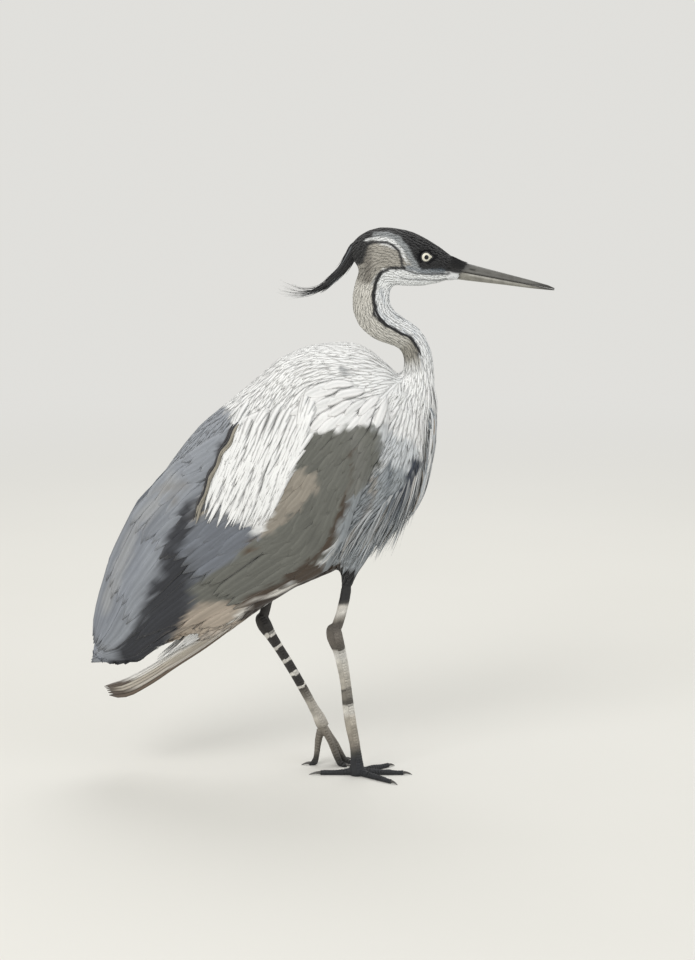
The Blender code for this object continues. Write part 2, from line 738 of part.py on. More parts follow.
def make_leg(side, side_y, lines, on_floor, bodies, birds, cutters):
    """Feathered thigh, bare shin and tarsus of one leg."""
    thigh_line, shin_line, tarsus_line = lines
    thigh = add_solid(f"thigh_{side}", plane_tube_rings(thigh_line, side_y, 2, 14), "plumage_slate", birds)
    cut_clear(thigh, bodies, cutters)
    tarsus_rings = plane_tube_rings(tarsus_line, side_y, 2, 10)
    if on_floor:
        tarsus_rings = upright_end(tarsus_rings, tarsus_line, side_y)
    tarsus = add_solid(f"tarsus_{side}", tarsus_rings, "leg_scutes", birds)
    shin = add_solid(f"shin_{side}", plane_tube_rings(shin_line, side_y, 1, 10), "leg_scutes", birds)
    cut_clear(shin, [thigh, tarsus, *bodies], cutters)
    return thigh, tarsus


def upright_end(rings, line, side_y):
    """The leg's last rings laid level, so that the ball of the foot ends in one flat on the floor."""
    levels = [row for row in line if row[1] < LEVEL_BELOW]
    kept = [ring for ring in rings if min(point[2] for point in ring) > LEVEL_BELOW + 0.001]
    for x, z, depth, width in levels:
        kept.append(oval((x, side_y, z), (0, 1, 0), (1, 0, 0), width, depth, depth, 10))
    return kept


def centre_over_floor(parts):
    """Moves every object so that the origin lies under the middle of the whole bird's box."""
    bpy.context.view_layer.update()
    graph = bpy.context.evaluated_depsgraph_get()
    corners = []
    for part in parts:
        seen = part.evaluated_get(graph)
        mesh = seen.to_mesh()
        points = np.empty(len(mesh.vertices) * 3, np.float32)
        mesh.vertices.foreach_get("co", points)
        world = np.array(seen.matrix_world)
        points = points.reshape(-1, 3) @ world[:3, :3].T + world[:3, 3]
        corners += [points.min(axis=0), points.max(axis=0)]
        seen.to_mesh_clear()
    low, high = np.min(corners, axis=0), np.max(corners, axis=0)
    middle = (low + high) / 2
    for found in bpy.data.objects:
        found.location.x -= middle[0]
        found.location.y -= middle[1]
        found.location.z -= low[2]


def main():
    clear_scene()
    birds = new_collection("grey_heron")
    cutters = new_collection("cutters", hidden=True)
    head = make_head(birds, cutters)
    make_bill(birds)
    necks = make_neck(head, birds, cutters)
    make_crest(head, necks[0], birds, cutters)
    trunk, neck_root = make_trunk(birds, cutters)
    cut_clear(necks[2], [trunk], cutters)
    rump = add_solid("rump", trunk_rings(RUMP_SECTIONS, 1, 18, inside=False), "plumage_buff", birds)
    cut_clear(rump, [trunk], cutters)
    wing_right = make_wing_right([trunk, rump], birds, cutters)
    wing_left = mirrored(wing_right, "wing_left", birds, cutters, [trunk, rump])
    make_mantle([trunk, neck_root, necks[2], wing_right, wing_left], birds, cutters)
    make_breast_plumes([trunk, neck_root, necks[2]], birds, cutters)
    make_tail([rump, wing_right, wing_left], birds, cutters)
    right_lines = (THIGH_RIGHT_LINE, SHIN_RIGHT_LINE, TARSUS_RIGHT_LINE)
    left_lines = (THIGH_LEFT_LINE, SHIN_LEFT_LINE, TARSUS_LEFT_LINE)
    bodies = [trunk, rump]
    thigh_right, tarsus_right = make_leg("right", RIGHT_LEG_Y, right_lines, True, bodies, birds, cutters)
    thigh_left, tarsus_left = make_leg("left", LEFT_LEG_Y, left_lines, False, bodies, birds, cutters)
    cut_clear(thigh_right, [wing_right], cutters)
    cut_clear(thigh_left, [wing_left], cutters)
    make_standing_foot(tarsus_right, birds, cutters)
    make_trailing_foot(tarsus_left, birds, cutters)
    centre_over_floor(list(birds.objects))


main()
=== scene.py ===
"""The looks of a standing grey heron, as a still museum model at life size.

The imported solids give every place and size. One skin replaces the flesh, and the plumage over it is made of
thin closed vanes, laid tract by tract: small scattered feathers on head, neck and body, ordered rows on the
wings, and long plumes on the crest, breast and shoulders. Bill, eyes, legs and claws are pieces of their own.
"""

from __future__ import annotations

import logging
import math
from collections.abc import Iterable, Sequence
from dataclasses import dataclass, field, replace
from enum import Enum

import bmesh
import bpy
import numpy as np
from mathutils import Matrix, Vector
from mathutils.bvhtree import BVHTree
from mathutils.kdtree import KDTree

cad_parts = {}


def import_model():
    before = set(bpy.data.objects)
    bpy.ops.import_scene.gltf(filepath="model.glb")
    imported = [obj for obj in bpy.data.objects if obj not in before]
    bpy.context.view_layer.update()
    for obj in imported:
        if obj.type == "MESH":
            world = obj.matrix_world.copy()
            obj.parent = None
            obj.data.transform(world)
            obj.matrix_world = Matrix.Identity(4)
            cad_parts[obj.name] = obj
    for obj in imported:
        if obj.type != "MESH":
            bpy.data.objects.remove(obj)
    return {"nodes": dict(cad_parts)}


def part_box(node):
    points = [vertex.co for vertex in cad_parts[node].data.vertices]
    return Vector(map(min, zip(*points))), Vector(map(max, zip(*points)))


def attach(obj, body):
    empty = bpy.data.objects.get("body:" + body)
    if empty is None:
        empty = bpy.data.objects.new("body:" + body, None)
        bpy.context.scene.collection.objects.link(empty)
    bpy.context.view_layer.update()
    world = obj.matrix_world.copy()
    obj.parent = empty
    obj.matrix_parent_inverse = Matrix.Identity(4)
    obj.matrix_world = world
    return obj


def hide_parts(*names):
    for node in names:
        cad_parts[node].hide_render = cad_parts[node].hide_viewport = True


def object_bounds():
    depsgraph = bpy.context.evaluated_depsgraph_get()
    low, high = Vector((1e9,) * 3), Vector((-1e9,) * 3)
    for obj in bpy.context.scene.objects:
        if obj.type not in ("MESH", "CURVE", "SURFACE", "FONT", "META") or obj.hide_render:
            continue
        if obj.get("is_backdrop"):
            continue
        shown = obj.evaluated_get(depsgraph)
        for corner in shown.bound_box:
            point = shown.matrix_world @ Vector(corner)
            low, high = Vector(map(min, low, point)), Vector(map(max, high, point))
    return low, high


LOG = logging.getLogger("heron")
Array = np.ndarray

MM = 0.001
BODY = "root"
COLOUR = "plumage"  # the colour attribute that skin and feathers carry
VANE_MAP = "Vane"  # across and along each feather, in centimetres
BAKE_MAP = "OFBake"
BAKE_PATCH = 0.003  # size of a feather's patch on the skin's unwrap


class Side(Enum):
    """The bird's two sides, with the sign of Y."""

    RIGHT = -1.0
    LEFT = 1.0


# ---------------------------------------------------------------- numbers and colours


def linear(code: str) -> Array:
    """An sRGB hex colour as linear red, green and blue."""
    srgb = np.array([int(code[i : i + 2], 16) / 255 for i in (0, 2, 4)])
    return np.where(srgb <= 0.04045, srgb / 12.92, ((srgb + 0.055) / 1.055) ** 2.4)


def smoothstep(low: float, high: float, value: Array) -> Array:
    """0 below low, 1 above high, and an even curve between."""
    t = np.clip((value - low) / (high - low), 0.0, 1.0)
    return t * t * (3 - 2 * t)


def unit(vectors: Array) -> Array:
    """The vectors at length one."""
    return vectors / np.maximum(np.linalg.norm(vectors, axis=-1, keepdims=True), 1e-12)


def ripple(points: Array, wavelength: float, seed: int) -> Array:
    """Soft irregular waves over points, about -1 to 1.

    Args:
        points: places, one row each.
        wavelength: the middle size of the waves, in the points' unit.
        seed: which waves.

    Returns:
        One number for each point.
    """
    rng = np.random.default_rng(seed)
    total = np.zeros(points.shape[:-1])
    for _ in range(7):
        direction = unit(rng.normal(size=points.shape[-1]))
        size = wavelength * rng.uniform(0.55, 1.8)
        total += np.sin(points @ direction * (2 * math.pi / size) + rng.uniform(0, 2 * math.pi))
    return total / 2.6  # the height that seven such waves mostly stay under


def smooth_line(points: tuple, count: int) -> Array:
    """Evenly spaced points on a smooth curve through the given ones.

    Args:
        points: rows of numbers, of which the first three are a place.
        count: how many points come back.

    Returns:
        The rows, one for each new point.
    """
    rows = np.array(points, float)
    knots = np.concatenate([[0.0], np.cumsum(np.linalg.norm(np.diff(rows[:, :3], axis=0), axis=1))])
    slope = np.gradient(rows, knots, axis=0)
    places = np.linspace(0, knots[-1], count)
    low = np.clip(np.searchsorted(knots, places, side="right") - 1, 0, len(knots) - 2)
    span = (knots[low + 1] - knots[low])[:, None]
    t = (places - knots[low])[:, None] / span
    return (
        (2 * t**3 - 3 * t**2 + 1) * rows[low]
        + (t**3 - 2 * t**2 + t) * span * slope[low]
        + (3 * t**2 - 2 * t**3) * rows[low + 1]
        + (t**3 - t**2) * span * slope[low + 1]
    )


def upright(line: Array) -> tuple[Array, Array]:
    """Which way lines in the middle plane run, and the way square to that.

    Args:
        line: the lines' points, of which the first three numbers are a place.

    Returns:
        The direction ahead and the direction up at each point, of length one.
    """
    ahead = unit(np.gradient(line[..., :3], axis=-2))
    return ahead, np.stack([-ahead[..., 2], np.zeros(ahead.shape[:-1]), ahead[..., 0]], axis=-1)


def stretch_of(guide: Array, start: Array, end: Array, t: Array) -> Array:
    """The stretch of a guide line that each feather follows.

    Args:
        guide: the line's rows.
        start: the share of the line where each feather starts.
        end: where it ends.
        t: shares of the feather from root to tip.

    Returns:
        The guide's row for each feather at each share.
    """
    return guide[((start[:, None] + (end - start)[:, None] * t[None]) * (len(guide) - 1)).astype(int)]


def from_line(points: Array, ends: tuple[Array, Array], reach: float = 1.0) -> tuple[Array, Array]:
    """Where points lie beside a straight line.

    Args:
        points: places, one row each.
        ends: the line's two ends.
        reach: how far the line carries on past its end, in its own lengths.

    Returns:
        Each point's share along the line, and its distance from it.
    """
    line = ends[1] - ends[0]
    share = np.clip((points - ends[0]) @ line / (line @ line), 0, reach)
    return share, np.linalg.norm(points - ends[0] - share[:, None] * line, axis=1)


def laid_over(colours: Array, code: str, cover: Array) -> Array:
    """The colours with another laid over them, as far as it covers each."""
    return colours + (linear(code) - colours) * cover[..., None]


def banded(bands: tuple, places: Array) -> Array:
    """Colours that change from place to place.

    Args:
        bands: places in order, each with the hex colour there.
        places: where the colours are wanted.

    Returns:
        A linear colour for each.
    """
    tints = np.array([linear(code) for _, code in bands])
    return np.stack([np.interp(places, [place for place, _ in bands], tints[:, i]) for i in range(3)], axis=-1)


# ---------------------------------------------------------------- meshes


def linked(name: str, data: bpy.types.ID) -> bpy.types.Object:
    """Makes an object, linked to the scene.

    Args:
        name: what it is called.
        data: its mesh, lamp or camera.

    Returns:
        The object.
    """
    made = bpy.data.objects.new(name, data)
    bpy.context.scene.collection.objects.link(made)
    return made


@dataclass
class MeshData:
    """Points and faces of a mesh, with what its corners and points carry."""

    points: Array
    faces: list[Array]  # arrays of faces, each array with one number of corners
    flat: list[bool]  # whether each array of faces is shaded flat
    colours: Array | None = None
    maps: dict[str, Array] = field(default_factory=dict)  # a place on each map for each point

    def build(self, name: str) -> bpy.types.Object:
        """Makes the object, linked to the scene.

        Args:
            name: what the object and its mesh are called.

        Returns:
            The object.
        """
        mesh = bpy.data.meshes.new(name)
        corners = np.concatenate([f.ravel() for f in self.faces]).astype(np.int32)
        sizes = np.concatenate([np.full(len(f), f.shape[1]) for f in self.faces])
        starts = np.concatenate([[0], np.cumsum(sizes)[:-1]]).astype(np.int32)
        mesh.vertices.add(len(self.points))
        mesh.vertices.foreach_set("co", self.points.astype(np.float32).ravel())
        mesh.loops.add(len(corners))
        mesh.loops.foreach_set("vertex_index", corners)
        mesh.polygons.add(len(sizes))
        mesh.polygons.foreach_set("loop_start", starts)
        smooth = np.concatenate([np.full(len(f), not flat) for f, flat in zip(self.faces, self.flat)])
        mesh.update(calc_edges=True)
        mesh.polygons.foreach_set("use_smooth", smooth)
        for map_name, places in self.maps.items():
            layer = mesh.uv_layers.new(name=map_name, do_init=False)
            layer.uv.foreach_set("vector", places[corners].astype(np.float32).ravel())
        if self.colours is not None:
            paint(mesh, self.colours)
        mesh.update()
        return linked(name, mesh)


def points_of(mesh: bpy.types.Mesh, what: str = "co") -> Array:
    """What the mesh's points hold.

    Args:
        mesh: the mesh.
        what: co for their places or normal for their normals.

    Returns:
        One row for each point.
    """
    found = np.empty(len(mesh.vertices) * 3, np.float32)
    mesh.vertices.foreach_get(what, found)
    return found.reshape(-1, 3).astype(float)


def triangles_of(mesh: bpy.types.Mesh) -> Array:
    """The mesh's faces as triangles.

    Args:
        mesh: the mesh.

    Returns:
        The numbers of each triangle's three points, one row each.
    """
    mesh.calc_loop_triangles()
    found = np.empty(len(mesh.loop_triangles) * 3, np.int32)
    mesh.loop_triangles.foreach_get("vertices", found)
    return found.reshape(-1, 3)


def set_points(mesh: bpy.types.Mesh, points: Array) -> None:
    """Moves the mesh's points."""
    mesh.vertices.foreach_set("co", points.astype(np.float32).ravel())
    mesh.update()


def paint(mesh: bpy.types.Mesh, colours: Array) -> None:
    """Gives a mesh the colour attribute that its finish reads.

    Args:
        mesh: the mesh.
        colours: each point's linear colour.
    """
    layer = mesh.color_attributes.new(COLOUR, "FLOAT_COLOR", "POINT")
    solid = np.concatenate([np.clip(colours, 0, 1), np.ones((len(colours), 1))], axis=1)
    layer.data.foreach_set("color", solid.astype(np.float32).ravel())


def ring_faces(rings: int, sides: int) -> list[Array]:
    """The faces of a closed tube whose points lie ring after ring.

    Args:
        rings: how many rings there are.
        sides: points in each.

    Returns:
        The faces around it, and the two that close its ends.
    """
    index = np.arange(rings * sides).reshape(rings, sides)
    after = np.roll(index, -1, axis=1)
    around = np.stack([index[:-1], index[1:], after[1:], after[:-1]], axis=-1).reshape(-1, 4)
    return [around, np.stack([index[0], index[-1][::-1]])]


def tube(centres: Array, radii: Array, sides: int = 20) -> MeshData:
    """A closed round tube along a line in the bird's middle plane.

    Args:
        centres: the line's points.
        radii: the tube's radius at each.
        sides: how many faces go round it.

    Returns:
        The tube, facing out.
    """
    _, up = upright(centres)
    turn = np.linspace(0, 2 * math.pi, sides, endpoint=False)[None, :, None]
    out = np.cos(turn) * up[:, None] + np.sin(turn) * np.array([0, 1.0, 0])
    points = centres[:, None] + radii[:, None, None] * out
    return MeshData(points.reshape(-1, 3), ring_faces(len(centres), sides), [False, True])


def smoothed(mesh: bpy.types.Mesh, rounds: int, keep_size: bool = True) -> None:
    """Relaxes the mesh's points half way towards their neighbours.

    Args:
        mesh: the mesh to change.
        rounds: how many times.
        keep_size: whether each round is followed by one outwards, so that nothing shrinks.
    """
    edges = np.empty(len(mesh.edges) * 2, np.int32)
    mesh.edges.foreach_get("vertices", edges)
    a, b = edges.reshape(-1, 2).T
    points = points_of(mesh)
    size = len(points)
    count = np.bincount(np.concatenate([a, b]), minlength=size)[:, None]
    for _ in range(rounds):
        for move in (0.5, -0.52) if keep_size else (0.5,):
            sums = [np.bincount(a, points[b, i], size) + np.bincount(b, points[a, i], size) for i in range(3)]
            points += move * (np.stack(sums, axis=1) / np.maximum(count, 1) - points)
    set_points(mesh, points)


def joined_nodes(names: tuple[str, ...], nodes: dict, swell: float, meet: float = 0.0) -> bpy.types.Object:
    """One object with merged copies of CAD nodes, each a little swollen so that they meet.

    Args:
        names: the CAD nodes.
        nodes: all CAD nodes by name.
        swell: how far each face moves out, in metres.
        meet: points this near to the middle plane are carried across it, so that two halves join.

    Returns:
        The joined object, linked to the scene.
    """
    whole = bmesh.new()
    for name in names:
        work = bmesh.new()
        work.from_mesh(nodes[name].data)
        bmesh.ops.remove_doubles(work, verts=work.verts, dist=1e-6)
        work.normal_update()
        for vertex in work.verts:
            vertex.co += vertex.normal * swell
            if abs(vertex.co.y) < meet:
                vertex.co.y -= math.copysign(2 * meet, vertex.co.y)
        part = bpy.data.meshes.new("part")
        work.to_mesh(part)
        work.free()
        whole.from_mesh(part)
        bpy.data.meshes.remove(part)
    mesh = bpy.data.meshes.new("joined")
    whole.to_mesh(mesh)
    whole.free()
    return linked("joined", mesh)


def merged(first: bpy.types.Object, *others: bpy.types.Object) -> bpy.types.Object:
    """Adds the meshes of other objects to the first one's own.

    Args:
        first: the object that stays.
        others: the objects that are taken up into it and removed.

    Returns:
        The first object.
    """
    bm = bmesh.new()
    for piece in (first, *others):
        bm.from_mesh(piece.data)
    bm.to_mesh(first.data)
    bm.free()
    for piece in others:
        bpy.data.objects.remove(piece)
    return first


def plain_mesh(made: bpy.types.Object) -> bpy.types.Mesh:
    """A plain mesh of the object as its modifiers shape it."""
    graph = bpy.context.evaluated_depsgraph_get()
    return bpy.data.meshes.new_from_object(made.evaluated_get(graph))


def remeshed(made: bpy.types.Object, name: str, voxel: float) -> bpy.types.Object:
    """One even skin of small faces over an object, which is removed.

    Args:
        made: the object.
        name: what the skin is called.
        voxel: the size of its faces.

    Returns:
        The skin.
    """
    remesh = made.modifiers.new("remesh", "REMESH")
    remesh.mode = "VOXEL"
    remesh.voxel_size = voxel
    mesh = plain_mesh(made)
    bpy.data.objects.remove(made)
    mesh.name = name
    mesh.polygons.foreach_set("use_smooth", np.ones(len(mesh.polygons), bool))
    return linked(name, mesh)


# ---------------------------------------------------------------- the bird's own directions


@dataclass(frozen=True)
class Axis:
    """A tilted axis in the bird's middle plane, by which places on it are told.

    The body's axis runs forward from the folded wings' tips, the head's back from the bill's root.
    """

    x: float
    z: float
    pitch: float  # in degrees
    way: int = 1  # -1 where places are counted backwards

    def slopes(self) -> tuple[float, float]:
        """The cosine and sine of the pitch."""
        return math.cos(math.radians(self.pitch)), math.sin(math.radians(self.pitch))

    def places(self, points: Array) -> Array:
        """Where points stand by the axis.

        Args:
            points: points, in rows of three numbers.

        Returns:
            Place along the axis and height over it, for each.
        """
        x, z = points[..., 0] - self.x, points[..., 2] - self.z
        cos, sin = self.slopes()
        return np.stack([self.way * (x * cos + z * sin), z * cos - x * sin], axis=-1)

    def point(self, place: Array, side: Array, height: Array) -> Array:
        """The point at a place by the axis.

        Args:
            place: how far along the axis.
            side: how far to the bird's left.
            height: how far over the axis.

        Returns:
            The point.
        """
        cos, sin = self.slopes()
        place = self.way * place
        x, z = self.x + place * cos - height * sin, self.z + place * sin + height * cos
        return np.stack([x, side, z], axis=-1)


class NeckLine:
    """The line through the neck from the head to the breast, with the neck's radius along it."""

    rows: tuple = (
        (0.0751, 0.0, 0.6180, 0.0190), (0.0656, 0.0, 0.6000, 0.0220), (0.0613, 0.0, 0.5795, 0.0225),
        (0.0644, 0.0, 0.5620, 0.0230), (0.0758, 0.0, 0.5488, 0.0220), (0.0931, 0.0, 0.5398, 0.0192),
        (0.1091, 0.0, 0.5295, 0.0180), (0.1169, 0.0, 0.5135, 0.0190), (0.1187, 0.0, 0.4940, 0.0205),
        (0.1149, 0.0, 0.4620, 0.0260), (0.1081, 0.0, 0.4290, 0.0315),
    )  # X, Y, Z and radius
    last: int = 89  # number of the line's last point

    def __init__(self) -> None:
        """Lays the line."""
        line = smooth_line(self.rows, self.last + 1)
        self.centres, self.radii = line[:, :3], line[:, 3]
        self.ahead, self.front = upright(line)  # front is the throat's side

    def nearest(self, points: Array) -> tuple[Array, Array, Array]:
        """Where points lie on the neck.

        Args:
            points: places, one row each.

        Returns:
            Share along the line, distance from it in radii, and the angle from the throat's side in radians.
        """
        gaps = np.linalg.norm(points[:, None, :] - self.centres[None], axis=2)
        index = gaps.argmin(axis=1)
        out = points - self.centres[index]
        angle = np.arctan2(np.abs(out[:, 1]), np.einsum("ij,ij->i", out, self.front[index]))
        return index / self.last, gaps[np.arange(len(points)), index] / self.radii[index], angle


# ---------------------------------------------------------------- markings


def outline_distance(places: Array, outline: tuple, closed: bool) -> Array:
    """How far places lie from an outline.

    Args:
        places: two numbers for each place.
        outline: the outline's corners.
        closed: whether it is a closed shape, inside which the distance is below 0, or a line.

    Returns:
        One distance for each place.
    """
    corners = np.array(outline, float)
    starts, ends = (corners, np.roll(corners, -1, axis=0)) if closed else (corners[:-1], corners[1:])
    best = np.full(len(places), 1e12)
    inside = np.zeros(len(places), bool)
    for a, b in zip(starts, ends):
        along = b - a
        t = np.clip(((places - a) @ along) / (along @ along), 0, 1)
        gap = places - a - t[:, None] * along
        best = np.minimum(best, np.einsum("ij,ij->i", gap, gap))
        if closed and along[1] != 0:
            crosses = (a[1] > places[:, 1]) != (b[1] > places[:, 1])
            inside ^= crosses & (places[:, 0] < a[0] + (places[:, 1] - a[1]) * (along[0] / along[1]))
    return np.where(inside, -np.sqrt(best), np.sqrt(best))


@dataclass(frozen=True)
class Marking:
    """One field or line of colour in the plumage, in millimetres on its own axes."""

    colour: str
    outline: tuple[tuple[float, float], ...]
    edge: float = 4.0  # width of the soft edge
    line: float = 0.0  # width, where the outline is a line and not a closed field
    strength: float = 1.0

    def over(self, colours: Array, places: Array) -> Array:
        """Lays the marking over colours.

        Args:
            colours: the colours so far, one row for each place.
            places: two numbers in metres for each place.

        Returns:
            The new colours.
        """
        distance = outline_distance(places / MM, self.outline, closed=not self.line) - self.line / 2
        cover = self.strength * (1 - smoothstep(-self.edge / 2, self.edge / 2, distance))
        return laid_over(colours, self.colour, cover)


def marked(ground: str, markings: tuple[Marking, ...], places: Array) -> Array:
    """Colours of a plain ground with markings over it.

    Args:
        ground: the ground's colour.
        markings: the markings, lowest first.
        places: two numbers in metres for each place.

    Returns:
        One colour for each place.
    """
    colours = np.repeat(linear(ground)[None], len(places), axis=0)
    for marking in markings:
        colours = marking.over(colours, places)
    return colours


WHITE = "f6f7f7"
FACE_WHITE = "f0f2f2"


# Place along the body's axis and height over it.
BODY_MARKINGS = (
    # a plain grey under the wing's other markings, so that no white shows where two of them meet
    Marking(
        "84878c",
        ((258, 96), (282, 26), (300, 10), (250, -30), (180, -40), (90, -20), (40, 0), (40, 20), (150, 60)),
        4,
    ),
    # grey washes of the wing, from the back down
    Marking(
        "979ca4", ((345, 175), (338, 126), (235, 84), (258, 101), (60, 5), (-30, 0), (-30, 60), (150, 180)), 5
    ),
    Marking(
        "848993", ((150, 130), (200, 108), (150, 84), (60, 40), (-20, 15), (-20, 45), (80, 88)), 26,
        strength=0.75,
    ),
    Marking("b3b4b4", ((60, 62), (150, 112), (236, 130)), 12, line=12, strength=0.5),
    Marking("7f7a73", ((222, 130), (246, 122), (228, 112)), 10, line=5, strength=0.6),
    Marking(
        "37393f",
        ((262, 104), (243, 92), (213, 66), (184, 30), (150, -4), (120, -14), (70, -24),
         (20, -24), (14, 6), (30, 13))
        + ((60, 19), (92, 29), (126, 47), (158, 64), (180, 80), (225, 95)),
        11,
    ),
    Marking("767b84", ((235, 78), (282, 26), (236, -4), (164, 10), (200, 66)), 12),
    Marking("5c5f64", ((205, 50), (176, 24), (150, 4)), 12, line=10, strength=0.7),
    # olive-grey coverts
    Marking(
        "6f706a",
        ((393, 80), (470, 30), (446, -6), (380, -22), (332, -47), (308, -56), (255, -53),
         (212, -47), (184, -46))
        + ((150, -20), (163, 20), (235, 15), (286, 17), (360, 52)),
        4,
    ),
    Marking("7b7b77", ((440, 40), (425, 5), (385, -18), (352, -36)), 12, line=14, strength=0.6),
    Marking("5f605b", ((372, 70), (345, 20), (322, -30)), 14, line=10, strength=0.3),
    Marking("9c958a", ((353, 60), (382, 38), (370, 22), (332, 16), (292, 10), (282, 17), (330, 42)), 4),
    # brown line along the coverts' lower front edge
    Marking("54473b", ((424, 24), (410, 10), (396, -5), (372, -20)), 3, line=3.5, strength=0.8),
    Marking(
        "4b3f34",
        ((392, -9), (372, -19), (346, -34), (311, -47), (281, -47), (262, -49), (226, -45), (205, -41)),
        4,
        line=8,
    ),
    Marking("5b4c3d", ((262, 8), (268, 16)), 4, line=6, strength=0.9),
    # buff underside behind the legs
    Marking("b2a698", ((190, -32), (214, -47), (187, -62), (120, -48), (96, -30), (112, -10), (158, -2)), 9),
    Marking("4b3f34", ((322, -84), (318, -62), (300, -50), (272, -52), (262, -60), (272, -84)), 4),
    Marking("d9d5cf", ((186, -58), (160, -48), (100, -36), (100, -60), (150, -64)), 5),
    Marking("3a3029", ((300, -74), (276, -70), (258, -66), (240, -61), (221, -56), (198, -53)), 3, line=14),
    Marking("e4e1db", ((272, -60), (258, -56), (240, -51), (217, -46.5), (194, -46), (178, -47)), 2.5, line=5),
    Marking("8a7c6c", ((200, -59), (160, -52), (120, -42)), 5, line=5, strength=0.8),
    # blue-grey front of the belly, with dark streaks
    Marking(
        "989ea3",
        ((448, -8), (466, -34), (462, -64), (430, -92), (330, -102), (312, -62), (345, -42), (382, -18)),
        9,
    ),
    Marking("b6bcc2", ((470, 30), (486, -8), (480, -40), (458, -30), (446, -2)), 14, strength=0.7),
    Marking("373e4b", ((476, -33), (458, -42), (439, -53)), 5, line=11),
    Marking("464d59", ((440, -52), (424, -60), (408, -68)), 5, line=8),
    Marking("565d66", ((458, -56), (444, -68), (420, -84)), 5, line=6, strength=0.8),
    Marking("6a7178", ((444, -20), (424, -46), (396, -66)), 5, line=6, strength=0.8),
    Marking("a59c90", ((426, -14), (404, -36), (374, -56)), 6, line=6, strength=0.6),
    Marking("6d737a", ((408, -30), (380, -52), (350, -70)), 6, line=6, strength=0.7),
    # dark and buff line along the rear edge of the long shoulder plumes
    Marking("b7afa1", ((322, 116), (282, 100), (244, 80)), 3, line=6, strength=0.9),
    Marking("46464a", ((336, 129), (296, 113), (262, 97), (236, 82)), 3, line=5),
    Marking("8d9093", ((476, 98), (484, 92)), 3, line=6, strength=0.7),
)

# Distance behind the bill's root and height over the head's axis.
HEAD_MARKINGS = (
    Marking("a8a49b", ((118, 30), (96, 14), (63, 9), (48, -2), (57, -6), (84, -14), (98, -40), (140, -40)), 4),
    Marking("6a655e", ((106, 2), (103, -14), (100, -30)), 8, line=9, strength=0.7),
    Marking(
        "1c1c1e",
        ((-30, -4), (-4, -4), (9, -4), (40, -7), (50, -2), (60, 12), (84, 25), (100, 20), (106, 8), (108, -12))
        + ((120, -22), (160, -22), (160, 60), (-30, 60)),
        3,
    ),
    Marking("5e6872", ((14, -5), (36, -9), (56, -7)), 5, line=6, strength=0.8),
    Marking("969a9c", ((100, 22), (88, 25), (74, 23), (64, 16), (57, 7), (48, -3)), 3, line=7),
    Marking("eceeee", ((110, 14), (101, 19), (90, 21), (78, 19), (69, 13), (63, 5), (58, -1)), 1.5, line=2.8),
    Marking("202023", ((108, 10), (99, 15), (88, 16.5), (77, 14), (69, 8), (65, 1), (63, -7)), 1.5, line=3.0),
    Marking("2b2e34", ((6, -6), (30, -11), (46, -13), (62, -10)), 1.5, line=2.2, strength=0.85),
    Marking("202023", ((60, -9), (76, -12), (86, -20), (90, -32), (91, -44)), 1.5, line=4),
    Marking("3a3d43", ((8, -13), (22, -17), (44, -20), (62, -21)), 1.5, line=1.8, strength=0.7),
)


